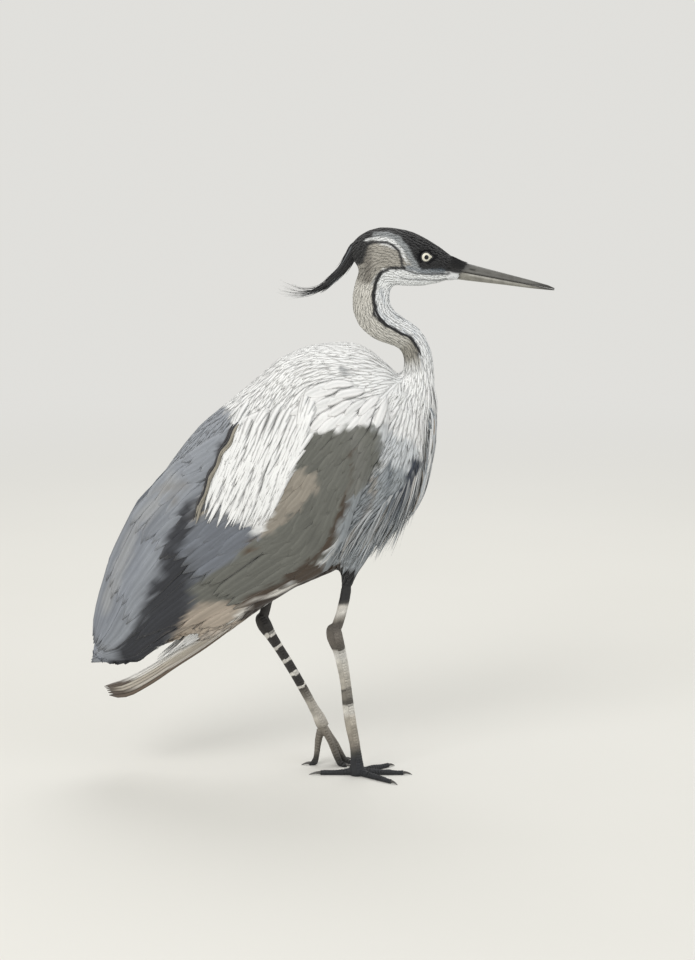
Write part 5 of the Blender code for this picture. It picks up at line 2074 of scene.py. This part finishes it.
@dataclass
class Tail:
    """Twelve tail feathers under the folded wings, with a few coverts over their roots."""

    plumage: Plumage
    # from root to tip: X, Y, Z, half thickness and half width
    line: tuple = (
        (-0.1039, 0, 0.1930, 0.0070, 0.0130), (-0.1419, 0, 0.1680, 0.0066, 0.0195),
        (-0.1779, 0, 0.1465, 0.0058, 0.0240), (-0.2059, 0, 0.1285, 0.0048, 0.0268),
        (-0.2399, 0, 0.1115, 0.0034, 0.0275), (-0.2644, 0, 0.1045, 0.0018, 0.0205),
    )
    feathers: int = 12
    # three layers from below: how far they spread, their length and the feathers' half width
    layers: tuple = ((1.0, 1.0, 0.0072), (0.92, 0.62, 0.0066), (0.85, 0.42, 0.0060))
    arch: float = 0.0130  # how far the outer feathers lie below the middle ones
    # colours from the middle feathers to the outer ones, which lie lowest
    colours: tuple[tuple[float, str], ...] = (
        (0.0, "f2f1ed"), (0.30, "e4e1da"), (0.45, "bfb8ab"), (0.75, "b5ada0"), (0.90, "dcd8d0"),
        (0.97, "8a7d6f"), (1.0, "6b5e51"),
    )
    tip: str = "5f554c"
    white: str = "f5f5f3"
    coverts: int = 72
    seed: int = 131

    def build(self) -> None:
        """Makes the tail."""
        rng = np.random.default_rng(self.seed)
        coat = Coat(self.plumage)
        guide = smooth_line(self.line, 120)
        n, t = self.feathers, np.linspace(0, 1, FLIGHT.rows)
        for layer, (spread, length, half) in enumerate(self.layers):
            share = np.linspace(-1, 1, n) * spread
            rows = stretch_of(guide, np.zeros(n), length - 0.05 * np.abs(share), t)
            up = upright(rows)[1]
            up *= np.where(up[..., 2:] < 0, -1, 1)
            across = share[:, None] * rows[..., 4] * 0.80
            middle = 1 - np.abs(share)
            rise = (middle - 0.6)[:, None] * rows[..., 3] * 0.9 + layer * 0.0004
            lines = rows[..., :3] + up * rise[..., None]
            lines[..., 1] += across
            lines[..., 2] -= self.arch * (across / 0.0275) ** 2
            brown = smoothstep(0.84, 0.95, t[None] + 0.05 * rng.normal(size=(n, 1))) * (layer == 0)
            colours = laid_over(banded(self.colours, np.abs(share))[:, None], self.tip, brown)
            tilt = LEFT * (share * 0.5)[:, None, None]
            coat.add(lines, unit(up + tilt), np.full(n, half), FLIGHT, rng, colours=colours)
        self._white_coverts(coat, guide, rng)
        coat.build("tail_feathers", FeatherFinish("tail_keratin", barb=1.3).make(), "tail_feathers", "tail")

    def _white_coverts(self, coat: Coat, guide: Array, rng: np.random.Generator) -> None:
        """Adds the soft white coverts that fill the space between the tail's root and the wings.

        Args:
            coat: the tail so far.
            guide: the tail's middle line.
            rng: random numbers.
        """
        n, t = self.coverts, np.linspace(0, 1, PLUME.rows)
        rows = stretch_of(guide, rng.uniform(0.0, 0.22, n), rng.uniform(0.36, 0.60, n), t)
        up = upright(rows)[1]
        up *= np.where(up[..., 2:] < 0, -1, 1)
        out = rng.uniform(-1, 1, n)[:, None] * (0.5 + 0.5 * t[None])
        rise = 0.003 + rng.uniform(0.1, 1.0, n)[:, None] * 0.021 * (1 - 0.78 * t[None]) * (1 - 0.4 * out**2)
        lines = rows[..., :3] + up * rise[..., None]
        lines[..., 1] += out * 0.0135
        ups = unit(up + LEFT * (out * 0.9)[..., None])
        colours = np.broadcast_to(linear(self.white), lines.shape)
        coat.add(lines, ups, rng.uniform(0.0036, 0.0052, n), PLUME, rng, colours=colours)


# ---------------------------------------------------------------- bill and eyes


@dataclass
class Bill:
    """The dagger bill: two mandibles with growth grooves, slit nostrils and a dark gape line."""

    nodes: dict
    head: Axis
    voxel: float = 0.00055
    length: float = 0.1200
    nostril: tuple[float, float] = (-0.0200, 0.0040)  # place along the head's axis and height over it
    groove: float = 0.0007  # depth of the groove from the nostril forward
    pit: float = 0.0012  # depth of the nostril
    upper: str = "676662"
    lower: str = "86847c"
    tip: str = "2f2d2a"
    # the darker culmen's colour, also laid in the nasal groove as painted shade
    ridge: str = "55544f"
    root: str = "1e1e20"
    # painted shade: the nostril's shallow pit is coloured near-black for the shade of its opening
    inside: str = "2a2926"  # of the nostril
    edge: str = "d8d6cf"  # along the lower mandible
    gape: str = "2e2c29"  # the line between the two

    def build(self) -> None:
        """Makes the two mandibles."""
        finish = HornFinish("bill_keratin", stained=0.30).make()
        for name in ("bill_upper", "bill_lower"):
            self._mandible(name, finish)

    def _mandible(self, name: str, finish: bpy.types.Material) -> None:
        """Makes one mandible from its solid's own shape.

        Args:
            name: its CAD node.
            finish: its material.
        """
        made = remeshed(joined_nodes((name,), self.nodes, 0.0), f"{name}_horn", self.voxel)
        smoothed(made.data, 6)
        points, normals = points_of(made.data), points_of(made.data, "normal")
        ahead, height = (self.head.places(points) * [-1, 1]).T
        share = ahead / self.length
        is_upper = name == "bill_upper"
        if is_upper:
            line = self.nostril[1] * (1 - 0.55 * share)
            run = smoothstep(0.010, 0.018, ahead) * (1 - smoothstep(0.055, 0.085, ahead))
            dent = self.groove * np.exp(-(((height - line) / 0.0011) ** 2)) * run
            along = (ahead + self.nostril[0]) / 0.0042
            slit = np.exp(-(along**4) - ((height - self.nostril[1]) / 0.0009) ** 2)
            side = np.abs(normals[:, 1]) > 0.4
            points = points - normals * ((dent + slit * self.pit) * side)[:, None]
            set_points(made.data, points)
        wave = ripple(points * [0.4, 1, 1], 0.008, 41)
        marks = [(self.tip, smoothstep(0.70, 0.95, share + 0.02 * wave))]
        if is_upper:
            marks += [
                (self.ridge, 0.85 * smoothstep(0.45, 0.95, normals[:, 2]) * smoothstep(0.0, 0.1, share)),
                # painted shade of the nostril's opening, laid on the pit's own mask
                (self.inside, slit * side),
                # painted shade: the groove darkens in step with its depth
                (self.ridge, 0.45 * (dent / self.groove) * side),
                (self.root, 1 - smoothstep(0.000, 0.016, ahead - 0.9 * np.clip(height, 0, 1) + 0.001 * wave)),
            ]
        else:
            pale = np.exp(-(((height + 0.0026) / 0.0011) ** 2)) * smoothstep(0.08, 0.2, share) * (1 - share)
            marks += [(self.root, 1 - smoothstep(0.001, 0.010, ahead + 0.001 * wave)), (self.edge, 0.7 * pale)]
        marks.append((self.gape, 0.85 * np.exp(-(((height + 0.0006) / 0.0011) ** 2))))
        colours = linear(self.upper if is_upper else self.lower) * (1 + 0.05 * wave)[:, None]
        for code, cover in marks:
            colours = laid_over(colours, code, np.clip(cover, 0, 1))
        paint(made.data, colours)
        dressed(made, finish, "bill_horn", name)


@dataclass
class Eye:
    """One eye with its pale iris and round pupil, in a thin dark lid."""

    side: Side
    middle: Array
    radius: float
    surface: Surface
    lid_radius: float = 0.0056  # where the lid's edge lies round the eye
    lid_thickness: float = 0.0008
    corner: float = 0.70  # how much further the lid reaches at the front corner
    pupil: float = 0.41  # share of the eye's radius
    iris: float = 0.80
    iris_colour: str = "e9e6d6"
    rim_colour: str = "8c8771"
    pupil_colour: str = "0a0a0b"
    lid_colour: str = "1a1a1c"
    forward: float = math.radians(14.0)  # how far the eyes look ahead

    def build(self) -> None:
        """Makes the eyeball, its lid and the bare skin at its corner."""
        side = self.side.name.lower()
        gaze = np.array([math.sin(self.forward), self.side.value * math.cos(self.forward), -0.04])
        gaze /= np.linalg.norm(gaze)
        first = unit(np.cross(gaze, [0, 0, 1.0]))
        ways = first, np.cross(gaze, first), gaze
        dressed(self._ball(*ways).build(f"eye_{side}_ball"), EyeFinish().make(), "eye_gloss", f"eye_{side}")
        for name, shape, finish in (
            (f"eyelid_{side}", self._lid, HornFinish("lid_skin", self.lid_colour, stained=0.1, roughness=0.5)),
            (
                f"eye_corner_{side}", self._corner_skin,
                HornFinish("bare_corner_skin", self.iris_colour, stained=0.05, roughness=0.5),
            ),
        ):
            dressed(shape(*ways).build(name), finish.make(), "eye_gloss")

    def _ball(self, first: Array, second: Array, gaze: Array) -> MeshData:
        """The eyeball.

        Args:
            first: the way across the eye.
            second: the way square to that.
            gaze: the way the eye looks.

        Returns:
            Its points, faces and colours.
        """
        rings, sides = 44, 56
        polar = np.linspace(0.02, math.pi - 0.02, rings)
        turn = np.linspace(0, 2 * math.pi, sides, endpoint=False)[None, :, None]
        # The cornea bulges a little over the iris.
        bulge = 1 + 0.05 * (1 - smoothstep(0.0, 0.9, polar))
        out = np.sin(polar)[:, None, None] * (np.cos(turn) * first + np.sin(turn) * second)
        points = self.middle + self.radius * bulge[:, None, None] * (out + np.cos(polar)[:, None, None] * gaze)
        reach = (np.sin(polar) * np.where(polar < math.pi / 2, 1, 9))[:, None] + np.zeros((1, sides))
        colours = linear(self.iris_colour)
        for code, cover in (
            (self.rim_colour, 0.5 * smoothstep(self.iris - 0.10, self.iris - 0.03, reach)),
            (self.pupil_colour, 1 - smoothstep(self.pupil - 0.02, self.pupil + 0.02, reach)),
            (self.pupil_colour, smoothstep(self.iris - 0.03, self.iris + 0.02, reach)),
        ):
            colours = laid_over(colours, code, cover)
        return MeshData(points.reshape(-1, 3), ring_faces(rings, sides), [False, False], colours.reshape(-1, 3))

    def _around(self, way: Array, reach: Array, gaze: Array, lift: float) -> tuple[Array, Array]:
        """Heights over the eye's middle of the ball and of the skin beside it.

        Args:
            way: the way out from the gaze.
            reach: how far out.
            gaze: the way the eye looks.
            lift: added to the skin's height.

        Returns:
            The ball's heights and the skin's.
        """
        ball = np.sqrt(np.clip(self.radius**2 - np.minimum(reach, self.radius) ** 2, 0, None))
        found, _ = self.surface.nearest(self.middle + way * reach[:, None] + gaze * 0.004)
        return ball, (found - self.middle) @ gaze + lift

    def _lid(self, first: Array, second: Array, gaze: Array) -> MeshData:
        """The lid's ring: an oval with a small point at the front corner.

        Args:
            first: the way across the eye.
            second: the way square to that.
            gaze: the way the eye looks.

        Returns:
            Its points and faces.
        """
        rings, sides = 64, 10
        turn = np.linspace(0, 2 * math.pi, rings, endpoint=False)
        way = np.cos(turn)[:, None] * first + np.sin(turn)[:, None] * second
        ahead = np.clip(way[:, 0], 0, 1) ** 12
        reach = self.lid_radius * (1 + self.corner * ahead)
        ball, skin = self._around(way, reach, gaze, 0.0008)
        depth = np.where(ahead > 0.02, np.maximum(ball + 0.0002, skin), ball + 0.0002)
        centre = self.middle + way * reach[:, None] + gaze * depth[:, None]
        round_it = np.linspace(0, 2 * math.pi, sides, endpoint=False)[None, :, None]
        ring = np.cos(round_it) * way[:, None] * 1.3 + np.sin(round_it) * gaze * 0.8
        points = centre[:, None] + self.lid_thickness * ring
        index = np.arange(rings * sides).reshape(rings, sides)
        a, b = np.roll(index, -1, axis=0), np.roll(index, -1, axis=1)
        faces = np.stack([index, b, np.roll(a, -1, axis=1), a], axis=-1).reshape(-1, 4)
        return MeshData(points.reshape(-1, 3), [faces], [False])

    def _corner_skin(self, first: Array, second: Array, gaze: Array) -> MeshData:
        """The pale point of bare skin between the eye and its front corner.

        Args:
            first: the way across the eye.
            second: the way square to that.
            gaze: the way the eye looks.

        Returns:
            Its points and faces.
        """
        way = unit(first * first[0] + second * second[0])
        rings, sides = 12, 16
        t = np.linspace(0, 1, rings)
        reach = self.lid_radius * (0.72 + (self.corner + 0.22) * t)
        ball, skin = self._around(way, reach, gaze, 0.0005)
        centres = self.middle + way * reach[:, None] + gaze * (np.maximum(ball, skin) + 0.0001)[:, None]
        up = np.cross(way, gaze)
        turn = np.linspace(0, 2 * math.pi, sides, endpoint=False)[None, :, None]
        half = (0.0026 * (1 - t) ** 0.9 + 0.00015)[:, None, None]
        thick = 0.0005 * (1.2 - t)[:, None, None]
        points = centres[:, None] + half * np.cos(turn) * up + thick * np.sin(turn) * gaze
        around, caps = ring_faces(rings, sides)
        # On one of the sides the ring runs the other way round, and its faces are turned to look out.
        a, b, c = points.reshape(-1, 3)[around[5 * sides][:3]]
        if np.cross(b - a, c - a) @ (a - points[5].mean(axis=0)) < 0:
            around, caps = around[:, ::-1], caps[:, ::-1]
        return MeshData(points.reshape(-1, 3), [around, caps], [False, True])


# ---------------------------------------------------------------- legs


def face_spots(mesh: bpy.types.Mesh, count: int, rng: np.random.Generator) -> Array:
    """Points spread at random over a mesh's faces.

    Args:
        mesh: the mesh.
        count: how many points.
        rng: random numbers.

    Returns:
        The points, one row each.
    """
    corners = points_of(mesh)[triangles_of(mesh)]
    area = face_areas(corners)
    chosen = rng.choice(len(area), size=count, p=area / area.sum())
    a, b = np.sort(rng.random((2, count)), axis=0)[..., None]
    picked = corners[chosen]
    return picked[:, 0] * a + picked[:, 1] * (b - a) + picked[:, 2] * (1 - b)


def middle_line(mesh: bpy.types.Mesh, start: Array, bins: int, rng: np.random.Generator) -> tuple[Array, Array]:
    """The line through the middle of a long mesh.

    Args:
        mesh: the mesh.
        start: a point near the end where the line starts.
        bins: how many lengths it is measured in.
        rng: random numbers.

    Returns:
        The line's points, and the mesh's radius at each.
    """
    spots = face_spots(mesh, 6000, rng)
    middle = spots.mean(axis=0)
    axis = np.linalg.svd(spots - middle, full_matrices=False)[2][0]
    along = (spots - middle) @ axis
    first = (start - middle) @ axis
    if abs(first - along.min()) > abs(first - along.max()):
        along = -along
    edges = np.linspace(along.min(), along.max(), bins + 1)
    which = np.clip(np.searchsorted(edges, along) - 1, 0, bins - 1)
    groups = [spots[which == i] for i in range(bins)]
    line = np.array([group.mean(axis=0) for group in groups])
    gaps = [np.linalg.norm(np.cross(group - spot, axis), axis=1) for group, spot in zip(groups, line)]
    return line, np.array([np.median(gap) for gap in gaps])


def corners_of(name: str) -> tuple[Array, Array]:
    """The low and the high corner of a CAD node's box."""
    low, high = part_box(name)
    return np.array(low), np.array(high)


# Colours up each leg: height over the floor in mm, and the colour there.
RIGHT_LEG = (
    (0, "232529"), (20, "282a2f"), (28, "45443f"), (36, "716b63"), (46, "989186"), (60, "a39c90"),
    (73, "aaa499"), (79, "cfccc5"), (87, "d3d0c9"), (90, "4d4a45"), (94, "57534d"), (96, "7b776f"),
    (105, "7f7a72"), (107.5, "45423d"), (110, "a8a399"), (125, "b8b3a9"), (142, "c3c0b8"), (150, "d8d6d1"),
    (157, "cbc8c2"), (160, "57524b"), (175, "68625b"), (190, "544f49"), (195, "8b867e"), (203, "d2cfc9"),
    (209, "c3bfb8"), (213, "3a3836"), (217, "1f1f21"), (400, "1d1d1f"),
)
PALE_RING, BETWEEN_RINGS = "d4d1ca", "2c2927"
RINGS = ((97.8, 98.4, 101.6, 102.2), (113.8, 114.4, 117.6, 118.2), (130.8, 131.4, 134.6, 135.2),
         (148.8, 149.4, 152.6, 153.2), (165.8, 166.4, 169.8, 170.6))
LEFT_LEG = (
    (0, "232529"), (10, "3a3834"), (18, "6b665e"), (40, "7b756c"), (48, "8f897f"), (60, "bbb6ad"),
    (78, "a7a299"), (92, "605b54"),
    *((height, PALE_RING if 0 < i < 3 else BETWEEN_RINGS) for ring in RINGS for i, height in enumerate(ring)),
    (400, "28231f"),
)

PLATE_POINTS = 11  # round each plate's arc


@dataclass
class Leg:
    """One leg and foot: scaly skin with a row of plates down the front and over the toes."""

    side: Side
    nodes: dict
    thigh: tuple[Array, Array]  # top and bottom of the thigh's middle line
    voxel: float = 0.00105
    plate_gap: float = 0.0034  # from plate to plate
    plate_height: float = 0.78  # of one plate, in radii of the leg
    plate_thickness: float = 0.14  # in radii of the leg
    seed: int = 151
    parts: tuple[str, ...] = ("shin", "tarsus", "toe_inner", "toe_middle", "toe_outer", "toe_hind")

    def node_name(self, part: str) -> str:
        """The name of this leg's node for a part."""
        first, *rest = part.split("_")
        return "_".join([first, self.side.name.lower(), *rest])

    def colour(self, points: Array) -> Array:
        """The leg's bands: dark and pale by height, blotched, with a dark foot.

        Args:
            points: places, one row each.

        Returns:
            A linear colour for each.
        """
        z = points[:, 2] + 0.0008 * ripple(points, 0.012, 61) + 0.0003 * ripple(points, 0.005, 62)
        # The bands run square across the leaning shank.
        low, high = corners_of(self.node_name("tarsus"))
        radius = (high[1] - low[1]) / 2
        lean = max(0.0, (high[0] - low[0] - 2 * radius) / (high[2] - low[2]))
        middle = low[0] + radius + lean * (high[2] - points[:, 2])
        z = z - lean * (points[:, 0] - middle) * smoothstep(0.050, 0.080, points[:, 2])
        streaks, blots = ripple(points * [1, 1, 0.22], 0.0045, 63), ripple(points, 0.010, 64)
        colours = banded(RIGHT_LEG if self.side is Side.RIGHT else LEFT_LEG, z / MM)
        return np.clip(colours * (1 + 0.10 * streaks + 0.08 * blots)[:, None], 0.005, 0.9)

    def build(self) -> None:
        """Makes the leg's skin and its plates."""
        side = self.side.name.lower()
        names = tuple(self.node_name(part) for part in self.parts)
        finish = LegFinish(f"scaled_leg_skin_{side}").make()
        whole = merged(joined_nodes(names, self.nodes, 0.00025), self._knee())
        skin = remeshed(whole, f"leg_{side}_skin", self.voxel)
        smoothed(skin.data, 5)
        self._finish_shape(skin)
        dressed(skin, finish, "leg_scales", *names)
        self._plates(LegFinish(f"leg_plate_horn_{side}", scale=3.2).make())

    def _knee(self) -> bpy.types.Object:
        """The shin carried on up into the thigh, under its feathers."""
        low, high = corners_of(self.node_name("shin"))
        radius = (high[1] - low[1]) / 2
        top, bottom = self.thigh
        start = np.array([high[0] - radius, (low[1] + high[1]) / 2, high[2] - 1.2 * radius])
        line = np.array([start, bottom + [0.0008, 0, 0], bottom + 0.17 * (top - bottom)])
        return tube(line, radius * np.array([0.96, 1.15, 0.95])).build("knee")

    def _finish_shape(self, made: bpy.types.Object, group: int = 1) -> None:
        """Keeps a mesh of the leg over the floor and sets its colours.

        Args:
            made: the object.
            group: how many points in a row share one colour.
        """
        points = points_of(made.data)
        points[:, 2] = np.maximum(points[:, 2], 0.0)
        set_points(made.data, points)
        middles = points.reshape(-1, group, 3).mean(axis=1)
        paint(made.data, np.repeat(self.colour(middles), group, axis=0))

    def _plates(self, finish: bpy.types.Material) -> None:
        """Lays the plates along the shank's front and the toes' tops.

        Args:
            finish: their material.
        """
        rng = np.random.default_rng(self.seed)
        points, edges, radii, fronts = [], [], [], []
        hub = corners_of(self.node_name("tarsus"))[0]
        for part in self.parts[1:]:
            name = self.node_name(part)
            low, high = corners_of(name)
            is_toe = part.startswith("toe")
            start = hub if is_toe else np.array([(low[0] + high[0]) / 2, (low[1] + high[1]) / 2, high[2]])
            line, reach = middle_line(self.nodes[name].data, start, 9 if is_toe else 16, rng)
            edges += [(i, i + 1) for i in range(len(points), len(points) + len(line) - 1)]
            points += line.tolist()
            radii += (reach * 1.05).tolist()
            fronts += [(0.0, 0.0, 1.0) if is_toe else (1.0, 0.0, 0.15)] * len(line)
        mesh = bpy.data.meshes.new("plate_lines")
        mesh.from_pydata(points, edges, [])
        for name, kind, key, values in (
            ("girth", "FLOAT", "value", radii), ("front", "FLOAT_VECTOR", "vector", fronts)
        ):
            layer = mesh.attributes.new(name, kind, "POINT")
            layer.data.foreach_set(key, np.array(values, np.float32).ravel())
        lines = linked(f"leg_{self.side.name.lower()}_plates", mesh)
        modifier = lines.modifiers.new("plates", "NODES")
        modifier.node_group = plate_tree()
        given = {"Gap": self.plate_gap, "Height": self.plate_height, "Thickness": self.plate_thickness,
                 "Finish": finish}
        for item in modifier.node_group.interface.items_tree:
            if item.name in given:
                modifier[item.identifier] = given[item.name]
        flat = plain_mesh(lines)
        lines.modifiers.clear()
        lines.data = flat
        self._finish_shape(lines, 4 * PLATE_POINTS)
        dressed(lines, finish, "leg_scales")


def plate_tree() -> bpy.types.NodeTree:
    """Geometry nodes that set overlapping half-ring plates along lines.

    Returns:
        The tree. Its inputs are the lines, the gap from plate to plate, a plate's height and thickness in radii
        of the leg, and the finish. The lines carry the leg's girth and which way is its front.
    """
    tree = bpy.data.node_groups.new("leg_plates", "GeometryNodeTree")
    for name, kind in (
        ("Lines", "NodeSocketGeometry"), ("Gap", "NodeSocketFloat"), ("Height", "NodeSocketFloat"),
        ("Thickness", "NodeSocketFloat"), ("Finish", "NodeSocketMaterial"),
    ):
        tree.interface.new_socket(name, in_out="INPUT", socket_type=kind)
    tree.interface.new_socket("Plates", in_out="OUTPUT", socket_type="NodeSocketGeometry")

    given = node(tree, "NodeGroupInput")
    curve = node(tree, "GeometryNodeMeshToCurve", {"Mesh": given["Lines"]})
    spaced = {"Curve": curve[0], "Length": given["Gap"]}
    spots = node(tree, "GeometryNodeResampleCurve", spaced, mode="LENGTH")
    girth = node(tree, "GeometryNodeInputNamedAttribute", {"Name": "girth"}, data_type="FLOAT")
    front = node(tree, "GeometryNodeInputNamedAttribute", {"Name": "front"}, data_type="FLOAT_VECTOR")
    ahead = {"Vector": node(tree, "GeometryNodeInputTangent")[0]}
    along = node(tree, "FunctionNodeAlignRotationToVector", ahead, axis="Z")
    facing = {"Rotation": along[0], "Vector": front[0]}
    turned = node(tree, "FunctionNodeAlignRotationToVector", facing, axis="X", pivot_axis="Z")
    round_leg = {"Start Angle": -math.radians(92), "Sweep Angle": math.radians(184), "Radius": 1.0}
    arc = node(tree, "GeometryNodeCurveArc", {"Resolution": PLATE_POINTS, **round_leg}, mode="RADIUS")
    size = {"Width": given["Thickness"], "Height": given["Height"]}
    section = node(tree, "GeometryNodeCurvePrimitiveQuadrilateral", size, mode="RECTANGLE")
    swept = {"Curve": arc[0], "Profile Curve": section[0], "Fill Caps": True}
    plate = node(tree, "GeometryNodeCurveToMesh", swept)
    each = {"Points": spots[0], "Instance": plate[0], "Rotation": turned[0], "Scale": girth[0]}
    placed = node(tree, "GeometryNodeInstanceOnPoints", each)
    real = node(tree, "GeometryNodeRealizeInstances", {"Geometry": placed[0]})
    finished = node(tree, "GeometryNodeSetMaterial", {"Geometry": real[0], "Material": given["Finish"]})
    node(tree, "NodeGroupOutput", {0: finished[0]})
    return tree


def dress_claws(nodes: dict) -> None:
    """Gives the claws' own solids a dark horn finish.

    Args:
        nodes: all CAD nodes by name.
    """
    finish = HornFinish("claw_keratin", "3b3935", roughness=0.35, coat=0.3).make()
    for name, claw in nodes.items():
        if name.startswith("claw_"):
            claw.data.materials.clear()
            claw.data.materials.append(finish)
    LOG.info("claws dressed")


# ---------------------------------------------------------------- the room


@dataclass
class Studio:
    """A plain pale floor that turns up into a backdrop, soft lights, and the camera."""

    target: tuple[float, float, float] = (0.0339, 0.0, 0.3612)
    lit: tuple[float, float, float] = (0.0, 0.0, 0.32)  # the place that the lamps face
    distance: float = 2.6
    elevation: float = math.radians(10.0)
    lens: float = 81.25
    floor_half: float = 80.0
    floor_colours: tuple[str, str] = ("e4e3df", "dddcd7")
    room_colour: str = "f0efeb"
    room_light: float = 0.86
    floor_end: tuple[float, float] = (1.0, 3.4)  # over these distances the floor turns into the room's light
    # name, place, size, power and colour
    lamps: tuple = (
        ("key_softbox", (-1.6, -2.4, 2.6), 1.7, 44.0, "fffdfa"),
        ("fill_softbox", (2.4, -1.6, 1.3), 2.2, 12.0, "eef4ff"),
        ("top_softbox", (0.2, 1.6, 2.8), 1.8, 20.0, "ffffff"),
    )

    def build(self) -> None:
        """Makes the floor, the lights and the camera."""
        self._floor()
        for lamp in self.lamps:
            self._light(*lamp)
        world = bpy.data.worlds.new("pale_room")
        world.use_nodes = True
        background = world.node_tree.nodes["Background"]
        background.inputs["Color"].default_value = rgba(self.room_colour)
        background.inputs["Strength"].default_value = self.room_light
        bpy.context.scene.world = world
        bpy.context.scene.view_settings.view_transform = "Standard"
        self._camera()

    def _floor(self) -> None:
        """Lays the floor and its finish: matt pale paper, which glows like the room where it is far."""
        mesh = bpy.data.meshes.new("floor")
        half = self.floor_half
        corners = [(x * half, y * half, 0) for x, y in ((-1, -1), (1, -1), (1, 1), (-1, 1))]
        mesh.from_pydata(corners, [], [(0, 1, 2, 3)])
        floor = linked("floor", mesh)
        material, tree = bare_material("pale_paper_floor")
        spots = node(tree, "ShaderNodeTexCoord")["Object"]
        cloud = node(tree, "ShaderNodeTexNoise", {"Vector": spots, "Scale": 1.2, "Detail": 3.0})
        first, second = (rgba(code) for code in self.floor_colours)
        mixed = {"Factor": cloud[0], 6: first, 7: second}
        tone = node(tree, "ShaderNodeMix", mixed, data_type="RGBA")
        far = {"Value": node(tree, "ShaderNodeVectorMath", {0: spots}, operation="LENGTH")["Value"]}
        limits = ranges(self.floor_end, (0.0, 1.0))
        fade = node(tree, "ShaderNodeMapRange", {**far, **limits}, interpolation_type="SMOOTHSTEP")[0]
        near = {"Factor": fade, 6: tone[2], 7: (0.0, 0.0, 0.0, 1.0)}
        glow = node(tree, "ShaderNodeMath", {0: fade, 1: self.room_light}, operation="MULTIPLY")
        surfaced(material, {
            "Base Color": node(tree, "ShaderNodeMix", near, data_type="RGBA")[2],
            "Emission Color": rgba(self.room_colour), "Emission Strength": glow[0],
            "Roughness": 0.95, "Specular IOR Level": 0.0,
        })
        floor.data.materials.append(material)
        floor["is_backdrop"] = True

    def _light(self, name: str, place: tuple, size: float, power: float, colour: str) -> None:
        """Adds one square soft light that faces the bird.

        Args:
            name: the lamp's name.
            place: where it stands.
            size: its side.
            power: in watts.
            colour: its hex colour.
        """
        lamp = bpy.data.lights.new(name, "AREA")
        lamp.size = size
        lamp.energy = power
        lamp.color = tuple(linear(colour))
        made = linked(name, lamp)
        made.location = place
        made.rotation_euler = (Vector(place) - Vector(self.lit)).to_track_quat("Z", "Y").to_euler()

    def _camera(self) -> None:
        """Sets the camera square to the bird's side, a little above it."""
        camera = bpy.data.cameras.new("camera")
        camera.lens = self.lens
        camera.sensor_width = 36.0
        camera.clip_end = 300.0
        made = linked("camera", camera)
        target = Vector(self.target)
        away = Vector((0, -math.cos(self.elevation), math.sin(self.elevation)))
        made.location = target + self.distance * away
        made.rotation_euler = (made.location - target).to_track_quat("Z", "Y").to_euler()
        bpy.context.scene.camera = made


# ---------------------------------------------------------------- the whole bird


def thigh_lines(nodes: dict) -> list[tuple[Array, Array]]:
    """Measures the thighs.

    Args:
        nodes: all CAD nodes by name.

    Returns:
        The top and bottom of each thigh's middle line.
    """
    rng = np.random.default_rng(3)
    found = []
    for side in Side:
        thigh = nodes[f"thigh_{side.name.lower()}"]
        low, high = corners_of(thigh.name)
        top = np.array([(low[0] + high[0]) / 2, (low[1] + high[1]) / 2, high[2]])
        line, _ = middle_line(thigh.data, top, 7, rng)
        line = line[np.argsort(-line[:, 2])]
        found.append((line[0], line[-1]))
    return found


# Lines inside head and body that the feathers' patches are laid out by, before and after the neck's.
THROUGH_HEAD = ((0.16, 0, 0.614), (0.12, 0, 0.622), (0.085, 0, 0.622))
THROUGH_BODY = ((0.09, 0, 0.41), (0.02, 0, 0.36), (-0.08, 0, 0.28), (-0.18, 0, 0.20), (-0.27, 0, 0.12))
EYE_SIDE = 0.0122  # the eyes' middles from the middle plane


def main() -> None:
    """Builds the heron piece by piece."""
    logging.basicConfig(level=logging.INFO, format="%(message)s")
    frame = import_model()
    cad_box = [list(corner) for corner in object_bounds()]
    nodes = frame["nodes"]
    bill_low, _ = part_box("bill_upper")
    eye_low, eye_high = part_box("eye_right")
    low_corner = cad_box[0]

    body = Axis(low_corner[0] + 0.01094, low_corner[2] + 0.118, 39.8)
    head = Axis(bill_low[0], 0.6138, -11.0, way=-1)
    neck = NeckLine()
    thighs = thigh_lines(nodes)
    through = [smooth_line(THROUGH_HEAD, 12)[:-1], neck.centres[::3], smooth_line(THROUGH_BODY, 40)]
    plumage = Plumage(body, head, neck, thighs, Unwrap(np.concatenate(through)))
    skin = Skin(nodes)
    skin_object = skin.shape(head, body)
    surface = Surface(skin_object)
    skin.dress(skin_object, plumage)

    radius = (eye_high[2] - eye_low[2]) / 2
    eye_x, eye_z = ((eye_low[i] + eye_high[i]) / 2 for i in (0, 2))
    eyes = {side: np.array([eye_x, side.value * EYE_SIDE, eye_z]) for side in Side}
    bare = [(spot, 0.0078) for spot in eyes.values()]
    bare += [(spot + [0.0085, 0, -0.0006], 0.0030) for spot in eyes.values()]
    lie = Lie(body, head, neck, thighs)
    SmallFeathers(surface, lie, plumage, bare).build()
    flank = FlankField(body, surface)
    BackRidge(body, plumage).build()
    for side, thigh in zip(Side, thighs):
        Wing(side, flank, plumage).build()
        ShoulderPlumes(side, flank, plumage).build()
        Eye(side, eyes[side], radius, surface).build()
        Leg(side, nodes, thigh).build()
    Crest(plumage).build()
    BreastPlumes(surface, lie, plumage).build()
    Tail(plumage).build()
    Bill(nodes, head).build()
    dress_claws(nodes)
    Studio().build()

    bpy.context.view_layer.update()
    LOG.info("done")


if __name__ == "__main__":
    main()
